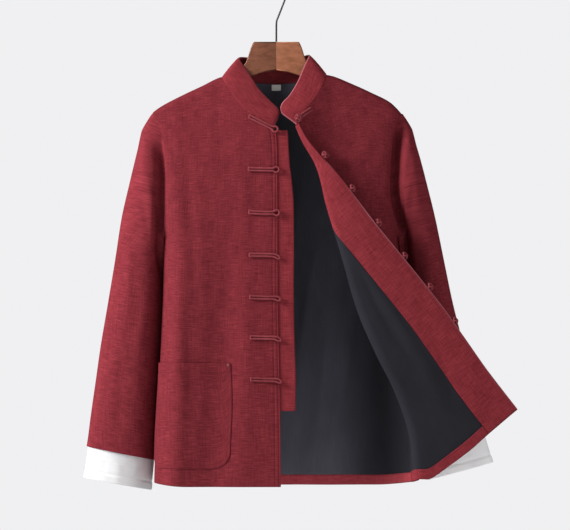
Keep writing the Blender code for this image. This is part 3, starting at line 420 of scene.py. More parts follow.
class Surface:
    """A cloth surface, worked out once on a grid of columns us and rows ts."""

    def __init__(self, point, us, ts, outward=1, relief=None, closed=False):
        self.us, self.ts = sorted(set(us)), sorted(set(ts))
        self.closed, self.outward = closed, outward
        self.points = [[point(u, t) for u in self.us] for t in self.ts]
        self.normals = self.find_normals()
        if relief:
            self.points = [[p + m * relief(u, t) * MM for u, p, m in zip(self.us, line, ups)]
                           for t, line, ups in zip(self.ts, self.points, self.normals)]
            self.normals = self.find_normals()

    def find_normals(self):
        rows, columns = len(self.ts), len(self.us)
        ups = []
        for j in range(rows):
            low, high = self.points[max(j - 1, 0)], self.points[min(j + 1, rows - 1)]
            here = self.points[j]
            line = []
            for i in range(columns):
                before, after = max(i - 1, 0), min(i + 1, columns - 1)
                if self.closed and i in (0, columns - 1):
                    before, after = columns - 2, 1
                across = here[after] - here[before]
                line.append(across.cross(high[i] - low[i]).normalized() * self.outward)
            ups.append(line)
        return ups

    def at(self, u, t, lift=0.0):
        """The point at (u, t), moved lift millimetres outwards."""
        i = min(max(bisect_right(self.us, u) - 1, 0), len(self.us) - 2)
        j = min(max(bisect_right(self.ts, t) - 1, 0), len(self.ts) - 2)
        f = min(max((u - self.us[i]) / (self.us[i + 1] - self.us[i]), 0.0), 1.0)
        g = min(max((t - self.ts[j]) / (self.ts[j + 1] - self.ts[j]), 0.0), 1.0)

        def blend(grid):
            return grid[j][i].lerp(grid[j][i + 1], f).lerp(
                grid[j + 1][i].lerp(grid[j + 1][i + 1], f), g)

        return blend(self.points) + blend(self.normals).normalized() * lift * MM

    def weave_places(self):
        """Metres of cloth across and up from the hem, at each point of the grid."""
        across = [run_lengths(line) for line in self.points]
        down = [run_lengths(column) for column in zip(*self.points)]
        return [[(run[i] - run[-1], down[i][-1] - down[i][j]) for i in range(len(self.us))]
                for j, run in enumerate(across)]

    def cut_size(self):
        """Width, length and area of the cloth, laid flat."""
        width = max(run_lengths(line)[-1] for line in self.points)
        length = max(run_lengths(column)[-1] for column in zip(*self.points))
        area = sum(((b - a).cross(d - a).length + (b - c).cross(d - c).length) / 2
                   for high, low in zip(self.points, self.points[1:])
                   for a, b, d, c in zip(high, high[1:], low, low[1:]))
        return width, length, area


def sew(name, surface, material, node, slot="red_cloth", thickness=CLOTH,
        offset=-1.0, edge_highlight=None):
    """A thin shell on a surface, with its weave's places as its UV: a piece of cloth.

    It stands for the node; a share function, if given, sets the painted highlight at each place.
    """
    columns, rows = len(surface.us) - 1, len(surface.ts) - 1
    places = surface.weave_places()
    bm = bmesh.new()
    bmesh.ops.create_grid(bm, x_segments=columns, y_segments=rows, size=0.5)
    uv = bm.loops.layers.uv.new("weave")
    # A vertex attribute with the share of painted highlight at each place, if one is given.
    highlight_layer = bm.verts.layers.float.new("edge_highlight") if edge_highlight else None
    spots = {}
    for vert in bm.verts:
        i, j = round((vert.co.x + 0.5) * columns), round((vert.co.y + 0.5) * rows)
        spots[vert] = i, j
        vert.co = surface.points[j][i]
        if edge_highlight:
            vert[highlight_layer] = edge_highlight(surface.us[i], surface.ts[j])
    for face in bm.faces:
        for loop in face.loops:
            i, j = spots[loop.vert]
            loop[uv].uv = places[j][i]
    if surface.closed:
        bmesh.ops.remove_doubles(bm, verts=bm.verts, dist=1e-6)
    if surface.outward < 0:
        bmesh.ops.reverse_faces(bm, faces=bm.faces)
    piece = mesh_object(name, bm, material)
    piece.data.shade_smooth()
    solid = piece.modifiers.new("thickness", "SOLIDIFY")
    solid.thickness = thickness * MM
    solid.offset = offset
    subdivided = piece.modifiers.new("smooth", "SUBSURF")
    subdivided.levels = subdivided.render_levels = 1
    dress(piece, slot, node)
    width, length, area = surface.cut_size()


def dress(piece, slot, *nodes):
    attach(piece, "root")
    if nodes:
        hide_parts(*nodes)


# Soft creases: where the middle of each lies, how long and wide it is, how far it leans
# from the vertical in degrees, and how far it rises.
Crease = namedtuple("Crease", "x drop length width lean height")


def crease_relief(creases, x, drop):
    total = 0.0
    for crease in creases:
        lean = math.radians(crease.lean)
        away_x, away_drop = x - crease.x, drop - crease.drop
        along_it = away_drop * math.cos(lean) + away_x * math.sin(lean)
        across_it = away_x * math.cos(lean) - away_drop * math.sin(lean)
        reach = 1 - (2 * along_it / crease.length) ** 2
        if reach > 0:
            total += crease.height * reach ** 2 * math.exp(-(across_it / crease.width) ** 2)
    return total


def groove(distance, at, depth, width=0.8):
    return -depth * math.exp(-((distance - at) / width) ** 2)


def side_seam(distance):
    return groove(distance, 0, SEAM_DEPTH, SEAM_WIDTH)


FrontEdge = namedtuple("FrontEdge", "drop x")
FRONT_EDGE_RIGHT = table(
    FrontEdge,
    (263, -3.9), (275, -0.3), (302, 1.2), (387, 2.0), (557, 2.9), (727, 6.3), (875, 8.0))
SIDE_HEM_LIFT = 6
FRONT_WIDTH = 222           # round the body, from the side seam to the front edge
EDGE_LINES = (2.4, 8.6)     # the two stitched lines, from the front edge
EDGE_LINE_DEPTH, SEAM_DEPTH, SEAM_WIDTH = 0.9, 0.8, 2.5
SIDE_HEM_SHARE = 0.35       # how much of the width the hem rises over
TOP_ROWS = [0.001, 0.003, 0.006]
SIDE_COLUMNS = [0.004, 0.014]
CREASES_FRONT_RIGHT = table(
    Crease,
    (-170, 560, 700, 15, 1, 3.4), (-84, 660, 640, 19, -1, -4.6), (-148, 400, 360, 11, 4, -1.8),
    (-128, 480, 420, 13, 2, 1.8), (-108, 330, 230, 15, 14, 1.4), (-50, 620, 420, 14, 2, 1.8),
    (-36, 400, 240, 10, -3, -1.1), (-152, 640, 300, 11, 3, -1.6), (-24, 720, 260, 11, 3, 1.0),
    (-60, 330, 200, 12, 8, 1.1), (-110, 215, 60, 9, 52, 0.9), (-160, 262, 90, 9, 34, 1.8),
    (-176, 300, 120, 7, 16, -1.8), (-140, 780, 150, 10, 8, 1.2))


@cache
def front_right_edge(drop):
    return curve_at(FRONT_EDGE_RIGHT, "x", drop)


@cache
def front_right_at(s, t):
    top_x, top_drop = top_seam(RIGHT, NECK_SEAM_RIGHT, s)
    hem = HEM_DROP - SIDE_HEM_LIFT * (1 - ease(s / SIDE_HEM_SHARE))
    drop = mix(top_drop, hem, t)
    return hanging_x(RIGHT, s, drop, top_x, top_drop, front_right_edge), drop


def front_right_relief(s, t):
    relief = crease_relief(CREASES_FRONT_RIGHT, *front_right_at(s, t))
    for line in EDGE_LINES:
        relief += groove((1 - s) * FRONT_WIDTH, line, EDGE_LINE_DEPTH)
    return relief + side_seam(s * FRONT_WIDTH)


EDGE_STEPS = [0.9, 1.6, 2.4, 3.2, 4.2, 6.0, 7.6, 8.6, 9.6, 11.2, 14]
front_right = Surface(
    lambda s, t: body_point(FRONT, *front_right_at(s, t)),
    SIDE_COLUMNS + spread(42)[:40]
    + [1 - step / FRONT_WIDTH for step in EDGE_STEPS] + [1],
    TOP_ROWS + spread(104), outward=-1, relief=front_right_relief)
sew("right_front", front_right, RED_CLOTH, "front_right")

# ------------------------------------------------------------------ left front
# One panel of red cloth like the right front, but its lower corner is turned back outwards
# as a flap.  It hangs from the shoulder and the side seam, rolls round the fold and runs
# back in front of itself to its stitched front edge.

# One row for each cross section of the fold: the fold line with its radius, the angle at
# which the cloth enters it, and the flap's edge.
FlapRow = namedtuple("FlapRow", "share fold_x fold_y radius turn edge_x edge_drop edge_y")
FLAP = table(
    FlapRow,
    (0.000, 33.5, -50, 2.5, -90, 38.5, 256.0, -54),
    (0.050, 47.0, -52, 3.0, -90, 54.5, 284.5, -58),
    (0.107, 67.0, -55, 3.5, -90, 77.0, 312.0, -62),
    (0.155, 77.0, -59, 4.5, -90, 98.0, 335.2, -66),
    (0.223, 86.2, -66, 6.0, -90, 121.5, 365.0, -70),
    (0.355, 110.0, -79, 8.0, -90, 167.8, 426.2, -77),
    (0.524, 139.5, -90, 10.0, -88, 230.7, 503.7, -84),
    (0.650, 172.0, -93, 12.0, -78, 281.4, 567.8, -88),
    (0.745, 201.0, -91, 12.5, -64, 316.4, 617.1, -90),
    (0.866, 226.5, -83, 12.5, -42, 357.3, 675.2, -90),
    (1.000, 239.5, -71, 10.5, -20, 409.2, 742.4, -86))
NECK_SEAM_LEFT = table(
    SeamPoint,
    (84.5, 171.2), (79.4, 186.5), (70.9, 203.5), (60.7, 217.5), (47.0, 235.0), (33.5, 257.8))
FOLD_TOP, FOLD_HEM = 258, 861
FOLD_TILT = math.radians(19)     # flattens out near the hem
FlapHem = namedtuple("FlapHem", "share sag")
FLAP_HEM = table(
    FlapHem,
    (0, 0), (0.03, 5.2), (0.09, 7.2), (0.2, 7.6), (0.33, 7.7), (0.49, 7.2), (0.64, 4.4),
    (0.82, 2.0), (1, 0))
FLAP_BOW, SAG_LEAN = 7, math.radians(35)
FLAP_LINE_DEPTH, FLAP_CREASES_FROM = 0.5, 25
SIDE_HEM_LEFT = 868
SWING_LENGTH = 190          # the drop over which the standing part leaves the body
CURVE_PULL, CHEST_PULL = 0.4, 0.8
# Creases of the standing part, by x and drop, then those of the flap, by how far they lie
# from the fold and by drop.
CREASES_STANDING = table(
    Crease,
    (120, 235, 110, 10, -46, 1.3), (150, 300, 150, 11, -30, 1.5), (176, 360, 150, 11, -14, -1.5),
    (100, 262, 90, 8, -50, -0.9), (150, 560, 260, 14, -16, 1.8), (190, 640, 260, 13, -12, -1.6))
CREASES_FLAP = table(
    Crease,
    (22, 560, 260, 10, 8, 1.6), (48, 640, 260, 12, 4, -1.8), (84, 660, 260, 12, -4, 1.5),
    (122, 700, 220, 12, -8, -1.0))


@cache
def flap_value(t, column):
    return curve_at(FLAP, column, t)


def roll_start(t):
    return math.radians(flap_value(t, "turn"))


def roll_length(t):
    return (math.pi / 2 - roll_start(t)) * flap_value(t, "radius")


def roll_point(t, angle):
    """Round the fold: -90 degrees is the layer against the body, 90 the flap's."""
    radius = flap_value(t, "radius")
    out = radius * (1 - math.cos(angle))
    tilt = FOLD_TILT * (1 - t ** 6)
    return (flap_value(t, "fold_x") + out * math.cos(tilt),
            flap_value(t, "fold_y") - radius * math.sin(angle),
            mix(FOLD_TOP, FOLD_HEM, t) - out * math.sin(tilt))


@cache
def left_inner_edge(drop):
    """x where the standing part of the left front meets the fold."""
    t = min(max((drop - FOLD_TOP) / (FOLD_HEM - FOLD_TOP), 0.0), 1.0)
    return roll_point(t, roll_start(t))[0]


def standing_shape(s, t):
    """The left front from its side towards the fold, before it is joined to the fold."""
    start = roll_start(t)
    end_x, end_y, _ = roll_point(t, start)
    top_x, top_drop = top_seam(LEFT, NECK_SEAM_LEFT, s)
    hem = mix(SIDE_HEM_LEFT, roll_point(1, roll_start(1))[2], s)
    drop = mix(top_drop, hem, t)
    swing = ease((drop - FOLD_TOP) / SWING_LENGTH)
    edge_x = body_edge(LEFT, drop)
    hanging = body_point(
        FRONT, hanging_x(LEFT, s, drop, top_x, top_drop, left_inner_edge), drop)
    if swing == 0:
        return hanging
    start_y = body_point(FRONT, edge_x, drop).y / MM
    reach = CURVE_PULL * math.dist((edge_x, start_y), (end_x, end_y))
    chest_y = min(-full_depth(FRONT, drop) * CHEST_PULL, start_y * 1.05)
    pulls = ((edge_x, start_y),
             (edge_x + CURVE_PULL * max(end_x - edge_x, 0.0), max(chest_y, end_y * CHEST_PULL)),
             (end_x - reach * math.sin(start), end_y + reach * math.cos(start)),
             (end_x, end_y))
    weights = (1 - s) ** 3, 3 * s * (1 - s) ** 2, 3 * s * s * (1 - s), s ** 3
    x, y = (sum(weight * pull[axis] for weight, pull in zip(weights, pulls))
            for axis in (0, 1))
    return hanging.lerp(at_point(x, y, drop), swing)


@cache
def fold_shift(t):
    return at_point(*roll_point(t, roll_start(t))) - standing_shape(1, t)


def flap_edge_at(t):
    return flap_value(t, "edge_x"), flap_value(t, "edge_y"), flap_value(t, "edge_drop")


@cache
def flap_width(t):
    return math.dist(roll_point(t, math.pi / 2), flap_edge_at(t))


@cache
def flap_sag(f):
    return curve_at(FLAP_HEM, "sag", f)


def flap_point(f, t):
    """The turned-back part, from the fold (f = 0) to the front edge (f = 1)."""
    start, end = roll_point(t, math.pi / 2), flap_edge_at(t)
    x, y, drop = (mix(a, b, f) for a, b in zip(start, end))
    sag = flap_sag(f) * t ** 3
    x += sag * math.sin(SAG_LEAN)
    drop += sag * math.cos(SAG_LEAN)
    y -= FLAP_BOW * t * math.sin(math.pi * f)
    return at_point(x, y, drop)


def front_left_at(u, t):
    """u is 0 to 1 on the standing part, 1 to 2 round the fold, 2 to 3 on the flap."""
    if u <= 1:
        return standing_shape(u, t) + fold_shift(t) * u ** 4
    if u <= 2:
        return at_point(*roll_point(t, mix(roll_start(t), math.pi / 2, u - 1)))
    return flap_point(u - 2, t)


def front_left_relief(u, t):
    here = front_left_at(u, t)
    if u < 1:
        relief = crease_relief(CREASES_STANDING, here.x / MM, -here.z / MM)
        return relief * ease((1 - u) * 5) + side_seam(u * FRONT_WIDTH)
    if u <= 2:
        return 0.0
    out = (u - 2) * flap_width(t)
    relief = crease_relief(CREASES_FLAP, out, -here.z / MM) * ease(out / FLAP_CREASES_FROM)
    for line in EDGE_LINES:
        relief += groove(flap_width(t) - out, line, FLAP_LINE_DEPTH)
    return relief


WIDEST_FLAP = 205
front_left = Surface(
    front_left_at,
    SIDE_COLUMNS + spread(30) + spread(12, 1, 2) + spread(34, 2, 3)[:32]
    + [3 - step / WIDEST_FLAP for step in EDGE_STEPS] + [3],
    TOP_ROWS + spread(104), relief=front_left_relief)
sew("left_front", front_left, RED_CLOTH, "front_left")

# ------------------------------------------------------------------ back
# One wide panel of red cloth without a middle seam, sewn to the fronts at the shoulders and
# the sides.  It falls in a few long soft folds.
BACK_SHOULDER = 0.3         # share of the panel's width that each shoulder takes
NECK_SEAM_BACK = table(
    SeamPoint,
    (-92.3, 176.3), (-68, 180.0), (-36, 184.8), (0, 187.0), (36, 184.6), (64, 178.6),
    (84.5, 171.2))
CREASES_BACK = table(
    Crease,
    (-150, 330, 190, 14, 18, 1.7), (-100, 520, 320, 13, 3, -1.8), (-20, 480, 300, 14, -3, 1.3),
    (8, 640, 330, 12, 2, -1.5), (60, 560, 280, 13, -4, 1.4), (112, 620, 300, 12, 3, -1.6),
    (150, 340, 190, 14, -18, 1.8), (170, 700, 260, 12, -3, 1.3), (-170, 690, 260, 12, 3, 1.4),
    (-60, 250, 120, 10, 35, 0.9), (66, 250, 120, 10, -35, 0.9))


def back_top(s):
    """Top edge of the back: right shoulder, neck seam, left shoulder."""
    from_end = min(s, 1 - s)
    if from_end < BACK_SHOULDER:
        side, neck = (RIGHT, NECK_SEAM_BACK[0]) if s < 0.5 else (LEFT, NECK_SEAM_BACK[-1])
        x = mix(body_edge(side, SHOULDER_DROP), neck.x, from_end / BACK_SHOULDER)
        return x, shoulder_drop(x)
    return along(NECK_SEAM_BACK, (s - BACK_SHOULDER) / (1 - 2 * BACK_SHOULDER))


@cache
def back_at(s, t):
    """s runs from the right side seam to the left one."""
    side, half = (RIGHT, s * 2) if s < 0.5 else (LEFT, 2 - s * 2)
    top_x, top_drop = back_top(s)
    hem = HEM_DROP - 1 - SIDE_HEM_LIFT * (1 - ease(half / SIDE_HEM_SHARE))
    drop = mix(top_drop, hem, t)
    return hanging_x(side, half, drop, top_x, top_drop, lambda drop: 0.0), drop


def back_relief(s, t):
    seam = side_seam(min(s, 1 - s) * 2 * FRONT_WIDTH)
    return crease_relief(CREASES_BACK, *back_at(s, t)) + seam


back = Surface(lambda s, t: body_point(BACK, *back_at(s, t)),
               [0.002, 0.007, 0.993, 0.998] + spread(74), TOP_ROWS + spread(100),
               relief=back_relief)
sew("back_panel", back, RED_CLOTH, "back")

# ------------------------------------------------------------------ sleeves
# Two set-in sleeves of the same cloth, each sewn into its armhole and closed by one seam on
# its inner side.  They hang a little forward, with soft creases at the elbow.
# The sleeves' cloth is the red cloth painted lighter, standing in for light where the flap and
# the body shade them.
SLEEVE_PAINTED_LIGHT_CLOTH = red_slub("red_slub_sleeve_painted_light", (0.092, 0.0122, 0.0166), (0.165, 0.0219, 0.0291),
                        (0.255, 0.0372, 0.0468))
# One row for each ring of a sleeve: its number, the point on its outer line, the drop at
# its inner line, which lies beside the body, and half its thickness from front to back.
SleeveRing = namedtuple("SleeveRing", "ring outer_x outer_drop inner_drop half_depth")
SLEEVE_RIGHT = table(
    SleeveRing,
    (1, -228.3, 268.1, 458, 37), (2, -238.5, 307.2, 468, 39), (3, -250.4, 356.5, 484, 41),
    (4, -264.0, 417.7, 508, 42), (5, -275.9, 492.5, 545, 42), (6, -287.8, 563.9, 596, 41),
    (7, -299.7, 633.6, 657, 40), (8, -308.2, 693.1, 711, 38), (9, -316.7, 752.6, 771, 37),
    (10, -323.5, 807.0, 831, 36))
SLEEVE_LEFT = table(
    SleeveRing,
    (1, 230.7, 266.4, 458, 37), (2, 240.9, 301.0, 468, 39), (3, 254.5, 351.0, 484, 41),
    (4, 270.0, 412.0, 508, 42), (5, 286.7, 492.0, 545, 42), (6, 300.9, 560.0, 590, 41),
    (7, 315.0, 616.0, 640, 40), (8, 330.0, 676.0, 702, 38), (9, 344.0, 730.0, 758, 37),
    (10, 357.5, 785.0, 812, 36))
SLEEVE_START, SLEEVE_TUCK, SLEEVE_LEAVES_BODY = -1.6, 1.5, 14
TUCKED_BY, LEAVES_FROM, LEAVES_OVER = 60, 560, 260
INNER_BACK, OUTER_BACK = 23, 7
ARMHOLE_STEP = -2.2
SLEEVE_ROUND = 76           # radius that turns an angle round the sleeve into millimetres
# Creases by distance round the sleeve, from its outer line towards its front, and drop.
CREASES_SLEEVE = {
    RIGHT: table(
        Crease,
        (70, 330, 150, 11, 24, 1.6), (118, 420, 170, 10, 34, -1.9), (90, 520, 220, 12, 12, 1.6),
        (140, 600, 220, 12, -8, 1.5), (60, 640, 240, 12, 6, -1.4), (105, 720, 190, 10, 4, -1.5),
        (160, 480, 150, 10, 30, 1.8), (-80, 400, 180, 12, -24, 1.8),
        (-120, 520, 200, 12, -14, -1.8), (-70, 620, 240, 12, 6, 1.6),
        (-140, 700, 200, 12, 4, 1.6), (20, 450, 200, 10, 8, 1.0)),
    LEFT: table(
        Crease,
        (70, 330, 150, 11, 24, 1.8), (118, 400, 170, 10, 36, -2.0), (86, 480, 200, 12, 18, 1.8),
        (150, 470, 150, 10, 30, 1.6), (40, 560, 220, 12, 6, -1.5), (100, 640, 220, 11, -6, 1.5),
        (-80, 380, 180, 12, -22, 1.8), (-120, 520, 200, 12, -12, -1.8),
        (-60, 600, 240, 12, 8, 1.6), (-140, 680, 200, 12, 4, 1.5)),
}
SLEEVE_SEAM_DEPTH, SLEEVE_SEAM_WIDTH = 1.2, 5
LAST_RING, RING_SPACING, FIRST_SPACING = 10, 54, 30
HEM_PUFF, HEM_PUFF_WIDTH = 0.6, 9
SHOULDER_CAP, CAP_RINGS = 1.6, 1.8
# The hollow beside the armhole and the swell next to it.  The hollow's drops are where it
# starts, over how much it deepens, where it starts to end and over how much.  The swell
# fades towards the sleeve's end.
SWELL_FADES_FROM, SWELL_FADE = 7, 0.6
Hollow = namedtuple("Hollow", "depth width start deepens ends fades")
HOLLOWS = {RIGHT: Hollow(13, 24, 272, 50, 430, 110), LEFT: Hollow(20, 27, 232, 50, 430, 110)}
Swell = namedtuple("Swell", "height middle width")
SWELLS = {RIGHT: Swell(5.0, 27, 20), LEFT: Swell(7.0, 52, 22)}


def sleeve_inner(side, inner_drop):
    """The inner line: outside the body at the underarm, then half behind its edge."""
    tucked = ease((inner_drop - UNDERARM_DROP - 4) / TUCKED_BY)
    away = ease((inner_drop - LEAVES_FROM) / LEAVES_OVER)
    away *= SLEEVE_LEAVES_BODY if side == LEFT else 0
    x = body_edge(side, inner_drop) + side * (mix(SLEEVE_START, -SLEEVE_TUCK, tucked) + away)
    return Vector((x, INNER_BACK * tucked, inner_drop))


def ring_point(inner, outer, half_depth, angle):
    """A point on a ring: angle 0 on the outer line, 90 degrees at the front."""
    point = (inner + outer) / 2 + (outer - inner) / 2 * math.cos(angle)
    return at_point(point.x, point.y - half_depth * math.sin(angle), point.z)


def sleeve_ring(side, v, angle):
    rows = SLEEVE_RIGHT if side == RIGHT else SLEEVE_LEFT
    outer_x, outer_drop, inner_drop, half_depth = (
        curve_at(rows, column, v)
        for column in ("outer_x", "outer_drop", "inner_drop", "half_depth"))
    return ring_point(sleeve_inner(side, inner_drop),
                      Vector((outer_x, OUTER_BACK, outer_drop)), half_depth, angle)


@cache
def armhole_point(side, angle):
    """The armhole edge, by the same angle: 0 at the shoulder, 180 at the underarm."""
    drop = mix(SHOULDER_DROP, UNDERARM_DROP + 2.0, (1 - math.cos(angle)) / 2)
    face = FRONT if math.sin(angle) > 0 else BACK
    edge_drop = min(drop, UNDERARM_DROP)
    point = body_point(face, body_edge(side, edge_drop) - side * 0.02, edge_drop)
    step = mix(0.5, ARMHOLE_STEP, ease(math.sin(angle / 2) * 3))
    return Vector((point.x + side * step * MM, point.y, -drop * MM))


def sleeve_at(side, angle, v):
    """v is the number of the ring, 0 at the armhole."""
    if v < 1:
        return armhole_point(side, angle).lerp(sleeve_ring(side, 1, angle), v)
    return sleeve_ring(side, v, angle)


def round_sleeve(angle):
    """Millimetres round the sleeve from its outer line, forwards."""
    return (angle if angle < math.pi else angle - math.tau) * SLEEVE_ROUND


def sleeve_relief(side, angle, v):
    point = sleeve_at(side, angle, v)
    drop = -point.z / MM
    top = max(math.cos(angle), 0.0) ** 2
    seam = groove(v * FIRST_SPACING, 0, SLEEVE_SEAM_DEPTH * (1 - 0.8 * top), SLEEVE_SEAM_WIDTH)
    cap = SHOULDER_CAP * top * math.sin(math.pi * min(v / CAP_RINGS, 1.0))
    end = HEM_PUFF * math.exp(-((LAST_RING - v) * RING_SPACING / HEM_PUFF_WIDTH) ** 2)
    out = side * point.x / MM - abs(body_edge(side, min(max(drop, SHOULDER_DROP), HEM_DROP)))
    full = SWELLS[side]
    swell = (full.height * math.exp(-((out - full.middle) / full.width) ** 2)
             * max(math.sin(angle), 0.0) * ease((v - 0.5) / 1.5)
             * (1 - SWELL_FADE * ease((v - SWELL_FADES_FROM) / (LAST_RING - SWELL_FADES_FROM))))
    hollow = HOLLOWS[side]
    pinch = (hollow.depth * ease(out / 3) * (1 - ease((out / hollow.width - 0.25) / 0.75))
             * ease((drop - hollow.start) / hollow.deepens)
             * (1 - ease((drop - hollow.ends) / hollow.fades))
             * ease(abs(math.sin(angle)) * 1.7 - 0.25))
    creases = crease_relief(CREASES_SLEEVE[side], round_sleeve(angle), drop)
    return creases + seam + end + cap + swell - pinch


ring_angles = spread(64, 0, math.tau)
ring_steps = [0.02, 0.05, 0.08, 0.14, 0.18, 0.28, 9.94, 9.98] + spread(90, 0, LAST_RING)
for side, word in SIDES.items():
    sleeve = Surface(partial(sleeve_at, side), ring_angles, ring_steps, outward=side,
                     closed=True, relief=partial(sleeve_relief, side))
    sew(word + "_sleeve", sleeve, SLEEVE_PAINTED_LIGHT_CLOTH, "sleeve_" + word)

# ------------------------------------------------------------------ cuffs
# White cotton cuffs: each comes out of its sleeve's end, with a stitched hem at its edge.
# The cotton is a fine plain weave, a little grey in its hollows.
FINE_PITCH = 0.55
fine_weave, n, place, axes = start_weave("fine_weave")
checks = n.math("MULTIPLY", n.wave(axes[0], FINE_PITCH), n.wave(axes[1], FINE_PITCH))
streaks = n.noise(place, (30, 500, 1))
clouds = n.noise(place, (34, 22, 1), 3.0)
finish_weave(n, n.total((streaks, 0.35), (clouds, 0.6), (checks, 0.04)),
             n.total((checks, 0.3), (streaks, 1.0)))
# The cuffs' cotton is painted in two tones: the left one lighter, standing in for light where
# the flap shades it.
CUFF_TONES_PAINTED_LIGHT = {RIGHT: ((0.3, (0.55, 0.55, 0.56)), (0.65, (0.68, 0.67, 0.67))),
              LEFT: ((0.3, (0.84, 0.84, 0.85)), (0.65, (0.96, 0.95, 0.95)))}

CUFF, CUFF_INSET = 1.2, 2.4
CUFF_END = {RIGHT: SleeveRing(11, -328.6, 860.4, 882.0, 34),
            LEFT: SleeveRing(11, 370.1, 834.2, 865.0, 34)}
CUFF_INNER_X = {RIGHT: -213.5, LEFT: 260.0}
CUFF_HIDDEN, CUFF_SHOWS = 0.35, 0.52
CUFF_LENGTH, CUFF_HEM, CUFF_HEM_STEP = 52, 14, 0.7
LEFT_CUFF_HIGHER = 22
CREASES_CUFF = table(
    Crease,
    (40, 850, 60, 9, 12, 1.0), (84, 842, 60, 8, -14, -1.2), (118, 852, 66, 10, 8, 1.3),
    (160, 846, 60, 9, -10, 1.0), (-60, 848, 60, 9, 12, 1.1), (-120, 850, 60, 9, -10, -1.1))


def cuff_at(side, angle, v):
    """v is 0 up inside the sleeve, 0.5 at the sleeve's end and 1 at the cuff's own edge."""
    def inset(ring):
        middle = (sleeve_ring(side, ring, 0) + sleeve_ring(side, ring, math.pi)) / 2
        point = sleeve_ring(side, ring, angle)
        return point + (middle - point).normalized() * CUFF_INSET * MM

    level = inset(LAST_RING)
    if v < 0.5:
        return level.lerp(inset(LAST_RING - 1), CUFF_HIDDEN * (1 - v / 0.5))
    end = CUFF_END[side]
    edge = ring_point(Vector((CUFF_INNER_X[side], INNER_BACK, end.inner_drop)),
                      Vector((end.outer_x, OUTER_BACK, end.outer_drop)),
                      end.half_depth, angle)
    return level.lerp(edge, (v - 0.5) / 0.5)


def cuff_relief(side, angle, v):
    if v < CUFF_SHOWS:
        return 0.0
    drop = -cuff_at(side, angle, v).z / MM + (LEFT_CUFF_HIGHER if side == LEFT else 0)
    from_edge = (1 - v) / 0.5 * CUFF_LENGTH
    creases = crease_relief(CREASES_CUFF, round_sleeve(angle), drop)
    return (creases * ease((v - CUFF_SHOWS) * 5) + groove(from_edge, CUFF_HEM, 0.9, 1.2)
            + CUFF_HEM_STEP * ease((CUFF_HEM - from_edge) / 3))


for side, word in SIDES.items():
    cuff = Surface(partial(cuff_at, side), ring_angles,
                   [0, 0.2, 0.4] + spread(22, 0.5, 1), outward=side, closed=True,
                   relief=partial(cuff_relief, side))
    cotton = cloth_material("white_cotton_" + word, fine_weave, CUFF_TONES_PAINTED_LIGHT[side], 0.88, 0.05,
                            0.3)
    sew(word + "_cuff", cuff, cotton, "cuff_" + word, "white_cotton", CUFF)

# ------------------------------------------------------------------ collar
# A stiff stand collar of two layers of the red cloth, painted lighter, sewn into the neck and
# stitched all round near its edge, which carries a painted highlight.
# The red cloth painted lighter, standing in for light on the collar, underlap, facing and left
# hem.
PAINTED_LIGHT_CLOTH = red_slub("red_slub_painted_light", (0.108, 0.0138, 0.0178),
                         (0.186, 0.0240, 0.0307), (0.275, 0.0402, 0.0490))
# Painted highlight: a pale pink mixed into the colour by the vertex attribute's share, along
# edges that catch the light.
n = Nodes(PAINTED_LIGHT_CLOTH.node_tree)
highlight_share = n.add("Attribute", {"attribute_name": "edge_highlight"}).outputs["Fac"]
# A Mix node's colours are its inputs 6 and 7, and its output 2.
painted_highlight_edge = n.add("Mix", {"data_type": "RGBA"}, Factor=highlight_share, i6=n.base_color(),
                  i7=(0.40, 0.150, 0.175, 1))
n.shade(Base_Color=painted_highlight_edge.outputs[2])
COLLAR, COLLAR_STEP = 2.6, -1.6
COLLAR_STITCH, COLLAR_ROLL, COLLAR_ROLL_WIDTH, COLLAR_BULGE = 3.6, 1.5, 2.6, 1.0
# Width of the painted highlight along the collar's edge.
HIGHLIGHT_WIDTH = 2.4
RIGHT_SEAM_END, LEFT_SEAM_START = 0.3, 0.7
CollarTop = namedtuple("CollarTop", "at x drop y")
COLLAR_TOP = table(
    CollarTop,
    (0.000, 4.0, 243.0, -28), (0.020, 4.4, 235.0, -27), (0.040, 0.5, 228.5, -26),
    (0.063, -6.5, 222.0, -24), (0.130, -27.7, 200.1, -19), (0.190, -41.0, 180.5, -13),
    (0.245, -53.0, 161.0, -7), (0.290, -64.0, 145.5, 0), (0.350, -57.0, 142.5, 11),
    (0.420, -34.0, 145.0, 17), (0.500, 0.0, 148.0, 19), (0.590, 32.0, 144.0, 17),
    (0.650, 49.0, 140.0, 11), (0.710, 56.0, 140.0, 0), (0.748, 50.0, 153.0, -8.5),
    (0.804, 43.5, 168.5, -14), (0.855, 36.5, 185.0, -20), (0.920, 22.0, 209.0, -25),
    (0.955, 11.0, 220.5, -27), (0.980, 7.2, 229.5, -28), (1.000, 9.5, 239.5, -29))
COLLAR_HEIGHT, COLLAR_LENGTH = 42, 470


def neck_seam(at):
    """The neck seam, all the way from the right front edge to the left one."""
    if at < RIGHT_SEAM_END:
        return body_point(FRONT, *along(NECK_SEAM_RIGHT, 1 - at / RIGHT_SEAM_END))
    if at > LEFT_SEAM_START:
        share = (at - LEFT_SEAM_START) / (1 - LEFT_SEAM_START)
        return body_point(FRONT, *along(NECK_SEAM_LEFT, share))
    share = (at - RIGHT_SEAM_END) / (LEFT_SEAM_START - RIGHT_SEAM_END)
    return body_point(BACK, *along(NECK_SEAM_BACK, share))


@cache
def collar_edges(at):
    seam = neck_seam(at)
    top = at_point(*(curve_at(COLLAR_TOP, column, at) for column in ("x", "y", "drop")))
    return seam + (top - seam).normalized() * COLLAR_STEP * MM, top


def collar_at(at, v):
    low, high = collar_edges(at)
    return low.lerp(high, v)


def from_collar_edge(at, v):
    """Millimetres from the collar's free edge."""
    return min(at * COLLAR_LENGTH, (1 - at) * COLLAR_LENGTH, (1 - v) * COLLAR_HEIGHT)


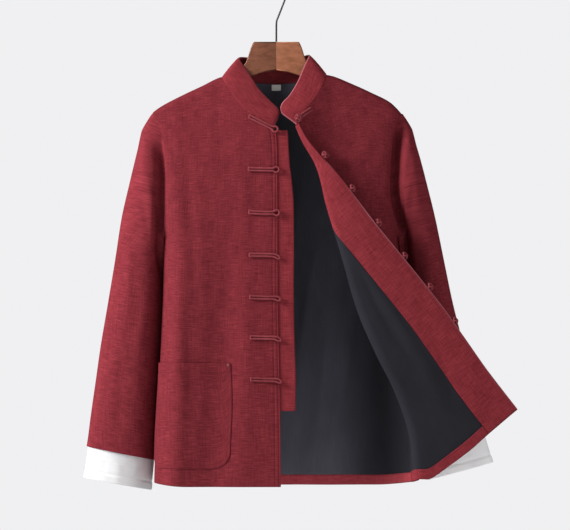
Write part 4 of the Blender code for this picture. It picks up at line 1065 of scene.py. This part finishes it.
def collar_relief(at, v):
    edge = from_collar_edge(at, v)
    return (groove(edge, COLLAR_STITCH, 0.45) + COLLAR_BULGE * math.sin(math.pi * v)
            - COLLAR_ROLL * (1 - ease(edge / COLLAR_ROLL_WIDTH)))


def collar_highlight(at, v):
    """A painted highlight along the edge, strongest on the left half, which meets the light."""
    return (1 - ease(from_collar_edge(at, v) / HIGHLIGHT_WIDTH)) * mix(0.35, 1.0, at > 0.5)


collar = Surface(
    collar_at, spread(130) + [0.0015, 0.003, 0.007, 0.010, 0.990, 0.993, 0.997, 0.9985],
    [0, 0.03, 0.1, 0.2, 0.3, 0.4, 0.5, 0.6, 0.7, 0.8, 0.86, 0.89, 0.91, 0.924, 0.94, 0.96,
     0.975, 0.99, 1], outward=-1, relief=collar_relief)
sew("stand_collar", collar, PAINTED_LIGHT_CLOTH, "collar",
    thickness=COLLAR, offset=0.0, edge_highlight=collar_highlight)

# ------------------------------------------------------------------ underlap
# A narrow strip of the red cloth, folded double and sewn behind the right front edge, so
# that it closes the gap under the frog loops.
UNDERLAP, UNDERLAP_HIDDEN, UNDERLAP_GAP = 1.6, 12, 0.65
UNDERLAP_TOP, UNDERLAP_HEM = 268, 746
UNDERLAP_EDGE = table(
    FrontEdge,
    (268, 19.9), (328, 23.3), (353, 26.7), (404, 30.1), (557, 30.1), (642, 31.8), (693, 33.5),
    (746, 32.6))
CREASES_UNDERLAP = table(
    Crease,
    (20, 360, 90, 5, 20, 0.6), (22, 470, 120, 5, -10, -0.6), (24, 600, 110, 6, 12, 0.7),
    (22, 690, 90, 5, -14, -0.6))


def underlap_at(across, down):
    drop = mix(UNDERLAP_TOP, UNDERLAP_HEM, down)
    x = mix(front_right_edge(drop) - UNDERLAP_HIDDEN,
            curve_at(UNDERLAP_EDGE, "x", drop), across)
    return body_point(FRONT, x, drop) + Vector((0, (CLOTH + UNDERLAP_GAP) * MM, 0))


def underlap_relief(across, down):
    point = underlap_at(across, down)
    return crease_relief(CREASES_UNDERLAP, point.x / MM, -point.z / MM)


underlap = Surface(underlap_at, spread(10), spread(96), outward=-1, relief=underlap_relief)
sew("front_underlap", underlap, PAINTED_LIGHT_CLOTH, "underlap",
    thickness=UNDERLAP)

# ------------------------------------------------------------------ pocket
# A patch pocket on the right front: a deep stitched hem at its mouth and stitches just
# inside its other edges, where it is pressed down onto the front.
POCKET_CLOTH, POCKET_GAP = 1.2, 0.8
POCKET_TOP, POCKET_HEM = 664, 844
POCKET_SIDE, POCKET_FRONT = 0.02, 0.645
POCKET_ROUND_WIDTH, POCKET_ROUND_HEIGHT = 0.19, 32
POCKET_WIDTH, POCKET_HEIGHT = 140, 180
POCKET_HEM_LINE, POCKET_EDGE_LINE = 18, 4.5
POCKET_BULGE = 0.012        # of its front edge, as a share of the jacket front's width
POCKET_PRESSED, MOUTH_OPEN, MOUTH_HEIGHT = 0.9, 2.2, 40
CREASES_POCKET = table(
    Crease,
    (30, 60, 150, 12, 4, 1.0), (66, 100, 170, 12, -3, -1.0), (92, 70, 140, 9, 2, 0.8),
    (48, 150, 70, 9, 30, 0.7))


def pocket_route(across, down):
    """Where a point of the pocket lies on the right front."""
    front = POCKET_FRONT + POCKET_BULGE * math.sin(math.pi * min(down, 0.9))
    s = mix(POCKET_SIDE, front, across)
    corner = max(1 - min(across, 1 - across) / POCKET_ROUND_WIDTH, 0.0)
    lift = POCKET_ROUND_HEIGHT * (1 - math.sqrt(1 - min(corner, 1.0) ** 2)) * down
    drop = mix(POCKET_TOP, POCKET_HEM, down) - lift
    top_drop = front_right_at(s, 0)[1]
    hem_drop = front_right_at(s, 1)[1]
    return s, (drop - top_drop) / (hem_drop - top_drop)


def pocket_at(across, down):
    return front_right.at(*pocket_route(across, down), POCKET_GAP + POCKET_CLOTH)


def pocket_relief(across, down):
    x, drop = across * POCKET_WIDTH, down * POCKET_HEIGHT
    away = min(x, POCKET_WIDTH - x, POCKET_HEIGHT - drop)
    pressed = POCKET_PRESSED * (1 - ease(away / 3))
    mouth = MOUTH_OPEN * (1 - ease(drop / MOUTH_HEIGHT)) * math.sin(math.pi * across) ** 0.4
    stitched = groove(drop, POCKET_HEM_LINE, 0.6) + groove(away, POCKET_EDGE_LINE, 0.5)
    creases = crease_relief(CREASES_POCKET, x, drop) * ease(away / 12)
    return mouth - pressed + stitched + creases


pocket = Surface(
    pocket_at, spread(30) + [0.012, 0.024, 0.038, 0.05, 0.95, 0.962, 0.976, 0.988],
    spread(44) + [0.096, 0.1, 0.104, 0.972, 0.98, 0.99], outward=-1, relief=pocket_relief)
sew("patch_pocket", pocket, RED_CLOTH, "pocket_right",
    thickness=POCKET_CLOTH)

# ------------------------------------------------------------------ facing
# A strip of the red cloth, painted lighter, sewn inside the left front edge, which the flap
# turns to the light.  It ends at the dark lining; its very edge carries a painted highlight.
LAYER_GAP, LINING = 0.65, 0.9
FACING_WIDTH, HEM_WIDTH = 64, 17
INNER_LIFT = -(CLOTH + LAYER_GAP)
LINING_APART = 0.2
EDGE_MARGIN = 0.6
# The painted highlight on the facing's very edge: its strength, where across it starts, and over
# how much it fills in.
FACING_HIGHLIGHT, FACING_HIGHLIGHT_FROM, FACING_HIGHLIGHT_OVER = 0.6, 1.96, 0.03
LEFT_HEM_LINE = 1 - HEM_WIDTH / (FOLD_HEM - FOLD_TOP)
FOLD_MIDDLE = 1.5


def across_from_edge(width, t):
    """The panel's u at a distance from the front edge, on the flap or round the fold."""
    flap = flap_width(t)
    if width <= flap:
        return 3 - width / flap
    return 2 - (width - flap) / roll_length(t)


def facing_limit(t, apart=0.0):
    """Where the facing meets the lining: on a narrow flap it is the fold itself."""
    return max(across_from_edge(FACING_WIDTH + apart, t), FOLD_MIDDLE - apart / roll_length(t))


def facing_route(share, t):
    """share is 0 to 1 from the lining to where the flap is flat, 1 to 2 to the edge."""
    limit = facing_limit(t)
    split = max(2.0, limit + 0.1)
    if share <= 1:
        return mix(limit, split, share), t
    return mix(split, across_from_edge(EDGE_MARGIN, t), share - 1), t


def facing_highlight(share, t):
    return FACING_HIGHLIGHT * ease((share - FACING_HIGHLIGHT_FROM) / FACING_HIGHLIGHT_OVER)


facing = Surface(
    lambda share, t: front_left.at(*facing_route(share, t), INNER_LIFT),
    spread(12) + spread(14, 1, 2) + [1.92, FACING_HIGHLIGHT_FROM, 1.985],
    [0.004] + spread(110, 0.012, 0.998))
sew("left_facing", facing, PAINTED_LIGHT_CLOTH, "facing_left", thickness=LINING,
    edge_highlight=facing_highlight)

# ------------------------------------------------------------------ linings and hems
# A smooth dark twill lining, sewn inside the left front and the back.  Each stops above the
# hem, where the red cloth is turned up and stitched down.
TWILL_PITCH = 0.8
smooth_weave, n, place, axes = start_weave("smooth_weave")
twill = n.wave(n.math("ADD", axes[0], axes[1]), TWILL_PITCH)
fibres = n.noise(place, (700, 24, 1))
clouds = n.noise(place, (16, 9, 1), 3.0)
finish_weave(n, n.total((fibres, 0.4), (clouds, 0.6)), n.total((twill, 0.25), (fibres, 1.0)))


def lining_cloth(name, dark, light):
    return cloth_material(name, smooth_weave, ((0.3, dark), (0.7, light)), 0.85, 0.0, 0.3)


# The back's lining is a copy of the flap's, painted about four times lighter, standing in for
# light on the shaded inside of the back.
BACK_LINING_PAINTED_LIGHT_AND_SHADE = lining_cloth("lining_back_painted_light_and_shade", (0.055, 0.0545, 0.067), (0.081, 0.079, 0.098))
FLAP_LINING = lining_cloth("dark_lining_flap", (0.0128, 0.0128, 0.0165),
                           (0.0195, 0.0193, 0.0245))
# The back hem's cloth is the red cloth painted much lighter, standing in for light deep inside
# the jacket.
HEM_PAINTED_LIGHT_CLOTH = red_slub("red_slub_hem_painted_light", (0.19, 0.0265, 0.034), (0.30, 0.043, 0.054),
                     (0.42, 0.068, 0.082), bump=0.5)
# Painted shade: the back lining darkens from one x to another, towards the left side seam, where
# the flap's fold shades it.
SHADED_FROM, SHADED_TO, SHADED_VALUE = 90, 190, 0.25
n = Nodes(BACK_LINING_PAINTED_LIGHT_AND_SHADE.node_tree)
across = n.add("SeparateXYZ", Vector=n.add("TexCoord").outputs["Object"]).outputs["X"]
painted_shade_value = n.add("MapRange", {"interpolation_type": "SMOOTHSTEP"}, Value=across,
             From_Min=SHADED_FROM * MM, From_Max=SHADED_TO * MM, To_Min=1.0,
             To_Max=SHADED_VALUE).outputs[0]
n.shade(Base_Color=n.add("HueSaturation", Value=painted_shade_value, Color=n.base_color()).outputs[0])
CREASES_LINING_BACK = table(
    Crease,
    (34, 430, 560, 8, -9, -3.4), (62, 520, 560, 9, -11, -4.2), (92, 620, 520, 9, -10, -3.8),
    (118, 680, 420, 9, -9, -3.2), (40, 700, 380, 9, -6, -3.4), (76, 760, 260, 8, -7, -2.6),
    (-60, 560, 500, 10, 3, 1.4), (-110, 600, 420, 10, -4, -1.3))
CREASES_LINING_LEFT = table(
    Crease,
    (30, 560, 330, 9, 16, 1.2), (62, 640, 330, 10, 12, -1.3), (96, 690, 260, 9, 8, 1.0))


def lining_left_route(share, t):
    """share is 0 to 1 on the standing part, 1 to 2 round the fold, 2 to 3 on the flap."""
    limit = facing_limit(t, LINING_APART)
    fold_end = min(2.0, 1 + (limit - 1) * 0.75)
    if share <= 1:
        return share, t
    if share <= 2:
        return mix(1, fold_end, share - 1), t
    return mix(fold_end, limit, share - 2), t


def lining_left_relief(share, t):
    u = lining_left_route(share, t)[0]
    if u < 2:
        return 0.0
    out = (u - 2) * flap_width(t)
    return -max(crease_relief(CREASES_LINING_LEFT, out, mix(FOLD_TOP, FOLD_HEM, t)),
                -LINING_RISE)


SIDE_MARGIN = 0.0005
HEM_BELOW_LINING = 0.2
LINING_RISE = 0.3           # the most that a crease lifts the lining off the flap
lining_columns = spread(26, SIDE_MARGIN) + spread(12, 1, 2) + spread(30, 2, 3)
lining_left = Surface(
    lambda share, t: front_left.at(*lining_left_route(share, t), INNER_LIFT), lining_columns,
    spread(96, 0.05, LEFT_HEM_LINE), relief=lining_left_relief)
sew("left_front_lining", lining_left, FLAP_LINING, "lining_front_left",
    "dark_lining", LINING)
hem_left = Surface(
    lambda share, t: front_left.at(*lining_left_route(share, t),
                                   INNER_LIFT - HEM_BELOW_LINING),
    lining_columns, spread(6, LEFT_HEM_LINE - 0.001, 0.998))
sew("left_front_hem", hem_left, PAINTED_LIGHT_CLOTH, "hem_front_left",
    thickness=LINING)

BACK_HEM_LINE = 1 - HEM_WIDTH / (HEM_DROP - 190)
back_columns = spread(84, SIDE_MARGIN, 1 - SIDE_MARGIN)
lining_back = Surface(
    lambda s, t: back.at(s, t, INNER_LIFT), back_columns, spread(96, 0.0015, BACK_HEM_LINE),
    relief=lambda s, t: crease_relief(CREASES_LINING_BACK, *back_at(s, t)))
sew("back_lining", lining_back, BACK_LINING_PAINTED_LIGHT_AND_SHADE, "lining_back", "dark_lining",
    LINING)
hem_back = Surface(lambda s, t: back.at(s, t, INNER_LIFT - HEM_BELOW_LINING), back_columns,
                   spread(6, BACK_HEM_LINE - 0.001, 0.998))
sew("back_hem", hem_back, HEM_PAINTED_LIGHT_CLOTH, "hem_back", thickness=LINING)

# ------------------------------------------------------------------ neck label
# A small label of bare white tape, sewn to the back lining below the neck seam by its top
# and foot, so that it waves a little between them.
LABEL_COLUMNS, LABEL_ROWS = (0.4887, 0.5253), (0.0034, 0.0186)
LABEL, LABEL_GAP = 0.5, 0.4
LABEL_WAVE, WAVE_ACROSS, WAVE_DOWN = 0.4, 60, 400


def label_wave(s, t):
    return LABEL_WAVE * math.sin(WAVE_ACROSS * s) * math.sin(WAVE_DOWN * t)


label = Surface(lambda s, t: back.at(s, t, INNER_LIFT - LINING - LABEL_GAP),
                spread(6, *LABEL_COLUMNS), spread(6, *LABEL_ROWS), relief=label_wave)
LABEL_TAPE = cloth_material(
    "label_tape", fine_weave, ((0.3, (0.84, 0.82, 0.80)), (0.65, (0.97, 0.95, 0.93))), 0.8,
    0.05, 0.2)
sew("neck_label", label, LABEL_TAPE, "label", "white_cotton", LABEL)

# ------------------------------------------------------------------ hanger
# Two flat wooden halves, glued on the middle line, with worn rounded edges, and the black
# wire hook.  The grain runs down each half; the right-hand one is darker.
WOOD, WOOD_EDGE, WOOD_TOP, GLUE_GAP = 10.4, 2.2, 116.8, 0.06
WOOD_UNDER_CLOTH = 3.3
ARM_END, ARM_SLOPE = 187, math.radians(28)
WOOD_BY_COLLAR, COLLAR_CLEAR = 3.8, 24
TIP_OUT, TIP_DOWN = 4, 7
WOOD_HEAD = table(
    SeamPoint,
    (0, WOOD_TOP), (39.0, WOOD_TOP), (43.5, 126.5), (47.0, 138), (51.2, 150), (60.5, 166))
WOOD_BELLY = table(
    SeamPoint,
    (188, 246), (174, 240), (150, 229), (110, 209), (75, 191), (43, 175.5), (20, 168), (0, 165))
ARM_POINTS = (80, 90, 104, 122, 142, 160, 176, ARM_END)
SHARP = math.radians(60)
wood_grain, n, place, _ = start_weave("wood_grain")
bends = n.add("VectorMath", {"operation": "SCALE"}, Scale=0.012,
              i0=n.noise(place, (9, 30, 9), output="Color")).outputs[0]
warped = n.add("VectorMath", {"operation": "ADD"}, i0=place, i1=bends).outputs[0]
rings = n.noise(warped, (60, 60, 130), 4.0, 0.6)
pores = n.noise(warped, (90, 900, 1400))
finish_weave(n, n.total((rings, 0.75), (pores, 0.3)), pores)
WOODS = {RIGHT: ("walnut_dark", (0.115, 0.041, 0.023), (0.19, 0.073, 0.041)),
         LEFT: ("walnut_light", (0.182, 0.065, 0.032), (0.285, 0.110, 0.059))}
for side, word in SIDES.items():
    wood, dark, light = WOODS[side]
    walnut = cloth_material(wood, wood_grain, ((0.36, dark), (0.66, light)), 0.5, 0.0, 0.15,
                            coordinate="Object", Coat_Weight=0.15)
    arm = [SeamPoint(x, shoulder_drop(side * x) + WOOD_UNDER_CLOTH / math.cos(ARM_SLOPE)
                        + WOOD_BY_COLLAR * (1 - ease((x - ARM_POINTS[0]) / COLLAR_CLEAR)))
           for x in ARM_POINTS]
    tip = SeamPoint(ARM_END + TIP_OUT, arm[-1].drop + TIP_DOWN)
    outline = WOOD_HEAD + arm + [tip] + WOOD_BELLY
    bm = bmesh.new()
    ring = [bm.verts.new(at_point(side * max(point.x, GLUE_GAP / 2), -WOOD / 2, point.drop))
            for point in outline]
    front_face = bm.faces.new(ring)
    grown = bmesh.ops.extrude_face_region(bm, geom=[front_face])["geom"]
    bmesh.ops.translate(bm, verts=[v for v in grown if isinstance(v, bmesh.types.BMVert)],
                        vec=(0, WOOD * MM, 0))
    bmesh.ops.recalc_face_normals(bm, faces=bm.faces)
    rounded = bm.edges.layers.float.new("bevel_weight_edge")
    for edge in bm.edges:
        glued = all(abs(vert.co.x) < GLUE_GAP * MM for vert in edge.verts)
        edge[rounded] = 0.0 if glued or len(edge.link_faces) < 2 else float(
            edge.calc_face_angle() > SHARP)
    board = mesh_object("hanger_board_" + word, bm, walnut)
    rounding = board.modifiers.new("rounding", "BEVEL")
    rounding.width = WOOD_EDGE * MM
    rounding.segments = 5
    rounding.limit_method = "WEIGHT"
    board.modifiers.new("flat_faces", "WEIGHTED_NORMAL")
    board.data.shade_smooth()
    dress(board, "brown_wood", "hanger_" + word)

HOOK_WIRE, HOOK_BEND = 3.2, 22.0
HOOK_SLANT, HOOK_TIP_ANGLE = math.radians(20.4), math.radians(205)
HOOK_STEM_TOP = 81.0
BLACK_WIRE, n = new_material("black_wire_paint")
scuffs = n.noise(n.add("TexCoord").outputs["Object"], (600, 600, 600), 3.0)
n.shade(Metallic=0.7, Roughness=n.math("ADD", 0.25, n.math("MULTIPLY", scuffs, 0.3)),
        Base_Color=n.ramp(scuffs, (0.3, (0.010, 0.010, 0.011)), (0.75, (0.045, 0.044, 0.043))))


def cord_piece(name, points, diameter, material, smooth_ends=True):
    """A round cord through its points, as a curve."""
    curve = bpy.data.curves.new(name, "CURVE")
    curve.dimensions = "3D"
    curve.bevel_depth = diameter / 2 * MM
    curve.bevel_resolution = 5
    curve.use_fill_caps = True
    curve.resolution_u = 5
    line = curve.splines.new("NURBS")
    line.points.add(len(points) - 1)
    for target, point in zip(line.points, points):
        target.co = (*point, 1.0)
    line.order_u = 3
    line.use_endpoint_u = smooth_ends
    return add_object(name, curve, material)


centre = HOOK_BEND - HOOK_WIRE / 2
hook = [(0, WOOD_TOP - 0.3), (0, 100), (0, HOOK_STEM_TOP + 5), (0.6, HOOK_STEM_TOP - 1)]
for share in (0.1, 0.4, 0.7):
    hook.append((share * HOOK_BEND * math.cos(HOOK_SLANT) + 0.6,
                 mix(HOOK_STEM_TOP, centre + HOOK_BEND * math.sin(HOOK_SLANT), share)))
for step in range(25):
    angle = mix(-HOOK_SLANT, HOOK_TIP_ANGLE, step / 24)
    hook.append((HOOK_BEND * math.cos(angle), centre - HOOK_BEND * math.sin(angle)))
wire = cord_piece("wire_hook", [at_point(x, 0, drop) for x, drop in hook], HOOK_WIRE,
                  BLACK_WIRE)
dress(wire, "black_wire", "hanger_hook")

# ------------------------------------------------------------------ frog loops
# Each frog is a cord of bias-cut cloth doubled into a loop: its two ends are turned under
# and sewn down at the left, and its eye lies at the front edge.
CORD, CORD_APART = 3.5, 4.4
LOOP_LENGTH, EYE_RADIUS, LOOP_SLOPE = 52, 4.8, 0.02
CORD_LIFT = CORD / 2 + 0.8
LOOP_DROPS = (334.4, 407.5, 480.6, 552.0, 620.5, 691.4)
LOOP_START, LOOP_STEP = -48.0, 0.8
COLLAR_LOOP = (-46.0, 244.5, 0.50, 54)      # start x and drop, slope, length
TURNED_END = 2.6


def on_front(x, drop, lift):
    return body_point(FRONT, x, drop) - Vector((0, lift * MM, 0))


def frog_loop(name, node, start_x, start_drop, slope, length, sag, hook):
    """hook is how far the eye has dropped out of the line of the two cords."""
    half = CORD_APART / 2
    # Each place: how far out along the loop, up from its middle line and off the cloth.
    path = [(0.6, 0.4, 0.4), (0.2, half - 0.4, 0.9), (0.9, half + 0.7, 0.9),
            (TURNED_END, half + 0.1, 0.5), (0.12 * length, half, 0.2),
            (0.35 * length, half, 0), (0.55 * length, half - 0.1, 0.1),
            (0.72 * length, half, 0.2), (0.82 * length, half + 0.2, 0.5)]
    for step in range(1, 10):
        angle = math.radians(140 - step * 28)
        path.append((length - EYE_RADIUS + EYE_RADIUS * math.cos(angle),
                     EYE_RADIUS * math.sin(angle) * (1 - hook / 9), 0.9))
    path += [(out, -up, rise) for out, up, rise in reversed(path[:9])]
    points = []
    for out, up, rise in path:
        low = (up - sag * math.sin(math.pi * min(out / length, 1))
               - hook * ease((out / length - 0.78) / 0.22))
        x = start_x + (out + up * slope) / math.hypot(1, slope)
        drop = start_drop + (out * slope - low) / math.hypot(1, slope)
        points.append(on_front(x, drop, CORD_LIFT + rise))
    dress(cord_piece(name, points, CORD, RED_CORD), "red_cloth", node)


LOOP_SAGS, LOOP_HOOKS = (0.3, 1.2, -0.4, 0.9, 0.2, 1.0), (0, 0, 3.6, 2.6, 3.2, 3.4)
for number, (drop, sag, hook) in enumerate(zip(LOOP_DROPS, LOOP_SAGS, LOOP_HOOKS), start=1):
    frog_loop(f"frog_loop_{number}", f"loop_{number}", LOOP_START + number * LOOP_STEP, drop,
              LOOP_SLOPE, LOOP_LENGTH, sag, hook)
frog_loop("frog_loop_collar", "loop_collar", *COLLAR_LOOP, 0.0, 0.0)

# ------------------------------------------------------------------ frog knots
# Knot buttons: a cord woven round itself into a ball, with two straps sewn down on the
# outer side of the turned flap.  The collar's knot lies beside the neck seam.
KNOT, STRAP_LENGTH = 13.4, 44
KNOT_CORD, KNOT_LIFT = 3.4, 2.6
KNOTS_BEYOND = (6.0, 4.8, 5.6, 4.0, 4.6, 3.6)
KNOT_TURNS, KNOT_LEADS, KNOT_STEPS = 3, 4, 150
KNOT_HEIGHT, KNOT_WEAVES = 0.86, 0.7
STRAP_POINTS = (0.03, 0.2, 0.4, 0.6, 0.8, 1.0)
FOLD_TO_LOOPS = FOLD_TOP + 5        # lengths along the flap's edge start at this drop


def knot(name, node, middle, axis, runs):
    """A cord led round a ball three times, over and under itself, and its two straps."""
    turn = axis.to_track_quat("Z", "Y").to_matrix()
    radius = KNOT / 2 - KNOT_CORD / 2
    points = []
    for step in range(KNOT_STEPS):
        angle = math.tau * KNOT_TURNS * step / KNOT_STEPS
        height = KNOT_HEIGHT * math.sin(angle * KNOT_LEADS / KNOT_TURNS)
        over = radius + KNOT_WEAVES * math.cos(angle * 2 * KNOT_LEADS / KNOT_TURNS)
        wide = math.sqrt(1 - height ** 2)
        spot = Vector((wide * math.cos(angle), wide * math.sin(angle), height)) * over
        points.append(middle + turn @ spot * MM)
    for word, run in zip(("upper", "lower"), runs):
        strap = cord_piece(f"{name}_strap_{word}", run, CORD, RED_CORD)
        dress(strap, "red_cloth")
    ball = cord_piece(name, points, KNOT_CORD, RED_CORD, smooth_ends=False)
    ball.data.splines[0].use_cyclic_u = True
    ball.data.resolution_u = 2
    ball.data.bevel_resolution = 3
    dress(ball, "red_cloth", node)


def front_edge_share(length):
    """The share down the flap at a length along its front edge."""
    low, walked, last = 0.0, 0.0, flap_edge_at(0.0)
    while walked < length and low < 1.0:
        low += 0.002
        here = flap_edge_at(low)
        walked += math.dist(last, here)
        last = here
    return low


for number, (loop_drop, beyond) in enumerate(zip(LOOP_DROPS, KNOTS_BEYOND), start=1):
    t = front_edge_share(loop_drop - FOLD_TO_LOOPS)
    edge = front_left.at(3, t, CORD_LIFT)
    out = (edge - front_left.at(3 - 20 / flap_width(t), t, CORD_LIFT)).normalized()
    down = (flap_point(1, t + 0.01) - flap_point(1, t - 0.01)).normalized()
    reach = min(STRAP_LENGTH, flap_width(t) * 0.8)
    runs = []
    for offset in (-CORD_APART / 2, CORD_APART / 2):
        run = [edge + out * (beyond - 2) * MM + down * offset * 0.5 * MM]
        for back_by in STRAP_POINTS:
            run.append(front_left.at(3 - back_by * reach / flap_width(t), t, CORD_LIFT)
                       + down * offset * MM)
        runs.append(run)
    outside = front_left.at(3, t, KNOT_LIFT) + out * beyond * MM
    knot(f"frog_knot_{number}", f"knot_{number}", outside, out, runs)

COLLAR_KNOT_X, COLLAR_KNOT_DROP, COLLAR_KNOT_SLOPE = 38.0, 247.5, 0.72
COLLAR_KNOT_AXIS = Vector((0.3, -1, 0.2))
# The top of the left front, about its fold, which the collar's knot lies on.
nearby = [point for line in front_left.points[:26] for u, point in zip(front_left.us, line)
          if 0.5 < u < 2.5]


def on_left_front(x, drop, lift):
    """A point in front of whatever part of the left front stands furthest out near it."""
    flat = body_point(FRONT, x, drop)
    depths = [point.y for point in nearby
              if math.hypot(point.x - flat.x, point.z - flat.z) < KNOT * 0.4 * MM]
    return Vector((flat.x, min(depths + [flat.y]) - lift * MM, flat.z))


runs = []
for offset in (-CORD_APART / 2, CORD_APART / 2):
    run = []
    for out in (1.5, 6, 13, 20, 27):
        slant = math.hypot(1, COLLAR_KNOT_SLOPE)
        run.append(on_left_front(
            COLLAR_KNOT_X + (out + offset * COLLAR_KNOT_SLOPE) / slant,
            COLLAR_KNOT_DROP - (out * COLLAR_KNOT_SLOPE - offset) / slant,
            CORD_LIFT + 3 * (1 - ease(out / 8))))
    runs.append(run)
knot("frog_knot_collar", "knot_collar",
     on_left_front(COLLAR_KNOT_X, COLLAR_KNOT_DROP, KNOT / 2 + 0.4), COLLAR_KNOT_AXIS, runs)

# ------------------------------------------------------------------ stitches
# Rows of machine stitches along the edges, the pocket, the hems, the collar and the label,
# pale bartacks at a corner of the pocket's mouth, and hand stitches behind the frogs.  Each
# stitch is a small bar of thread half sunk in the cloth.
STITCH, STITCH_GAP, THREAD = 2.6, 0.9, 0.42
STITCH_FULL, STITCH_LONG = 1.4, 1.06        # how much the thread swells over its own size
RED_THREAD = cloth_material(
    "red_thread", slub_weave, ((0.30, (0.12, 0.015, 0.022)), (0.70, (0.21, 0.03, 0.038))),
    0.7, 0.1, 0.2, coordinate="Object")
WHITE_THREAD = cloth_material(
    "white_thread", fine_weave, ((0.3, (0.5, 0.5, 0.5)), (0.65, (0.7, 0.7, 0.69))), 0.7, 0.1,
    0.2, coordinate="Object")
BARTACK_THREAD = cloth_material(
    "pale_red_thread", slub_weave, ((0.30, (0.30, 0.115, 0.125)), (0.70, (0.44, 0.20, 0.21))),
    0.7, 0.1, 0.2, coordinate="Object")


def stitch_row(name, surface, places, lift, thread=RED_THREAD, slot="red_cloth",
               stitch=STITCH):
    """Stitches at even steps along a chain of places on a surface."""
    points = [surface.at(u, t, lift) for u, t in places]
    starts = run_lengths(points)

    def at_length(length):
        i = min(max(bisect_right(starts, length) - 1, 0), len(points) - 2)
        part = (length - starts[i]) / max(starts[i + 1] - starts[i], 1e-9)
        return points[i].lerp(points[i + 1], min(max(part, 0.0), 1.0))

    bm = bmesh.new()
    step = (stitch + STITCH_GAP) * MM
    for number in range(max(int(starts[-1] / step), 1)):
        a = at_length(number * step)
        b = at_length(number * step + stitch * MM)
        turn = (b - a).to_track_quat("Z", "Y").to_matrix()
        thick = THREAD * STITCH_FULL * MM
        size = Vector((thick, thick, (b - a).length * STITCH_LONG))
        for vert in bmesh.ops.create_icosphere(bm, subdivisions=1, radius=0.5)["verts"]:
            vert.co = (a + b) / 2 + turn @ (vert.co * size)
    piece = mesh_object(name, bm, thread)
    piece.data.shade_smooth()
    dress(piece, slot)


EDGE_DOWN = spread(120, 0.004, 0.997)
FLAP_DOWN, FACING_DOWN = spread(120, 0.06, 0.997), spread(120, 0.03, 0.997)
for number, away in enumerate(EDGE_LINES, start=1):
    stitch_row(f"stitches_front_right_{number}", front_right,
               [(1 - away / FRONT_WIDTH, t) for t in EDGE_DOWN], 0.25)
stitch_row("stitches_front_left", front_left,
           [(3 - EDGE_LINES[1] / flap_width(t), t) for t in FLAP_DOWN], 0.2)
for number, away in enumerate(EDGE_LINES, start=1):
    stitch_row(f"stitches_facing_{number}", facing,
               [(2 - away / FACING_WIDTH, t) for t in FACING_DOWN], -LINING - 0.1)

side_line, foot_line = POCKET_EDGE_LINE / POCKET_WIDTH, 1 - POCKET_EDGE_LINE / POCKET_HEIGHT
pocket_down = spread(40)[:-2]
stitch_row("stitches_pocket_edge", pocket,
           [(side_line, down) for down in pocket_down]
           + [(across, foot_line) for across in spread(40, side_line, 1 - side_line)]
           + [(1 - side_line, down) for down in reversed(pocket_down)], 0.1)
stitch_row("stitches_pocket_hem", pocket,
           [(across, POCKET_HEM_LINE / POCKET_HEIGHT) for across in spread(40)], 0.15)
BARTACK_IN, BARTACK_APART, BARTACK = 4.3, 1.0, 6
for number in range(3):
    across = 1 - (BARTACK_IN + number * BARTACK_APART) / POCKET_WIDTH
    stitch_row(f"pocket_bartack_{number}", pocket,
               [(across, down) for down in spread(4, 0.004, 0.04)], 0.4, BARTACK_THREAD,
               stitch=BARTACK)

end_line, ends_up = COLLAR_STITCH / COLLAR_LENGTH, spread(12)[1:-1]
collar_line = ([(end_line, v) for v in ends_up]
               + [(at, 1 - COLLAR_STITCH / COLLAR_HEIGHT) for at in spread(150, 0.008, 0.992)]
               + [(1 - end_line, v) for v in reversed(ends_up)])
for word, lift in (("outer", COLLAR / 2 + 0.1), ("inner", -COLLAR / 2 - 0.1)):
    stitch_row("stitches_collar_" + word, collar, collar_line, lift)

for number, drop in enumerate(LOOP_DROPS[:5], start=1):
    t = front_edge_share(drop - FOLD_TO_LOOPS)
    stitch_row(f"stitches_frog_{number}", facing, [(u, t) for u in spread(10, 1.15, 1.82)],
               -LINING - 0.12)

stitch_row("stitches_hem_back", hem_back,
           [(s, BACK_HEM_LINE + 0.002) for s in spread(90, 0.06, 0.94)], -LINING - 0.1)
stitch_row("stitches_hem_left", hem_left,
           [(u, LEFT_HEM_LINE + 0.002) for u in spread(90, 0.2, 2.97)], -LINING - 0.1)
for word, row in (("top", 0.0048), ("foot", 0.0190)):
    stitch_row("stitches_label_" + word, label, [(s, row) for s in spread(8, *LABEL_COLUMNS)],
               -0.5, WHITE_THREAD, "white_cotton", stitch=1.6)
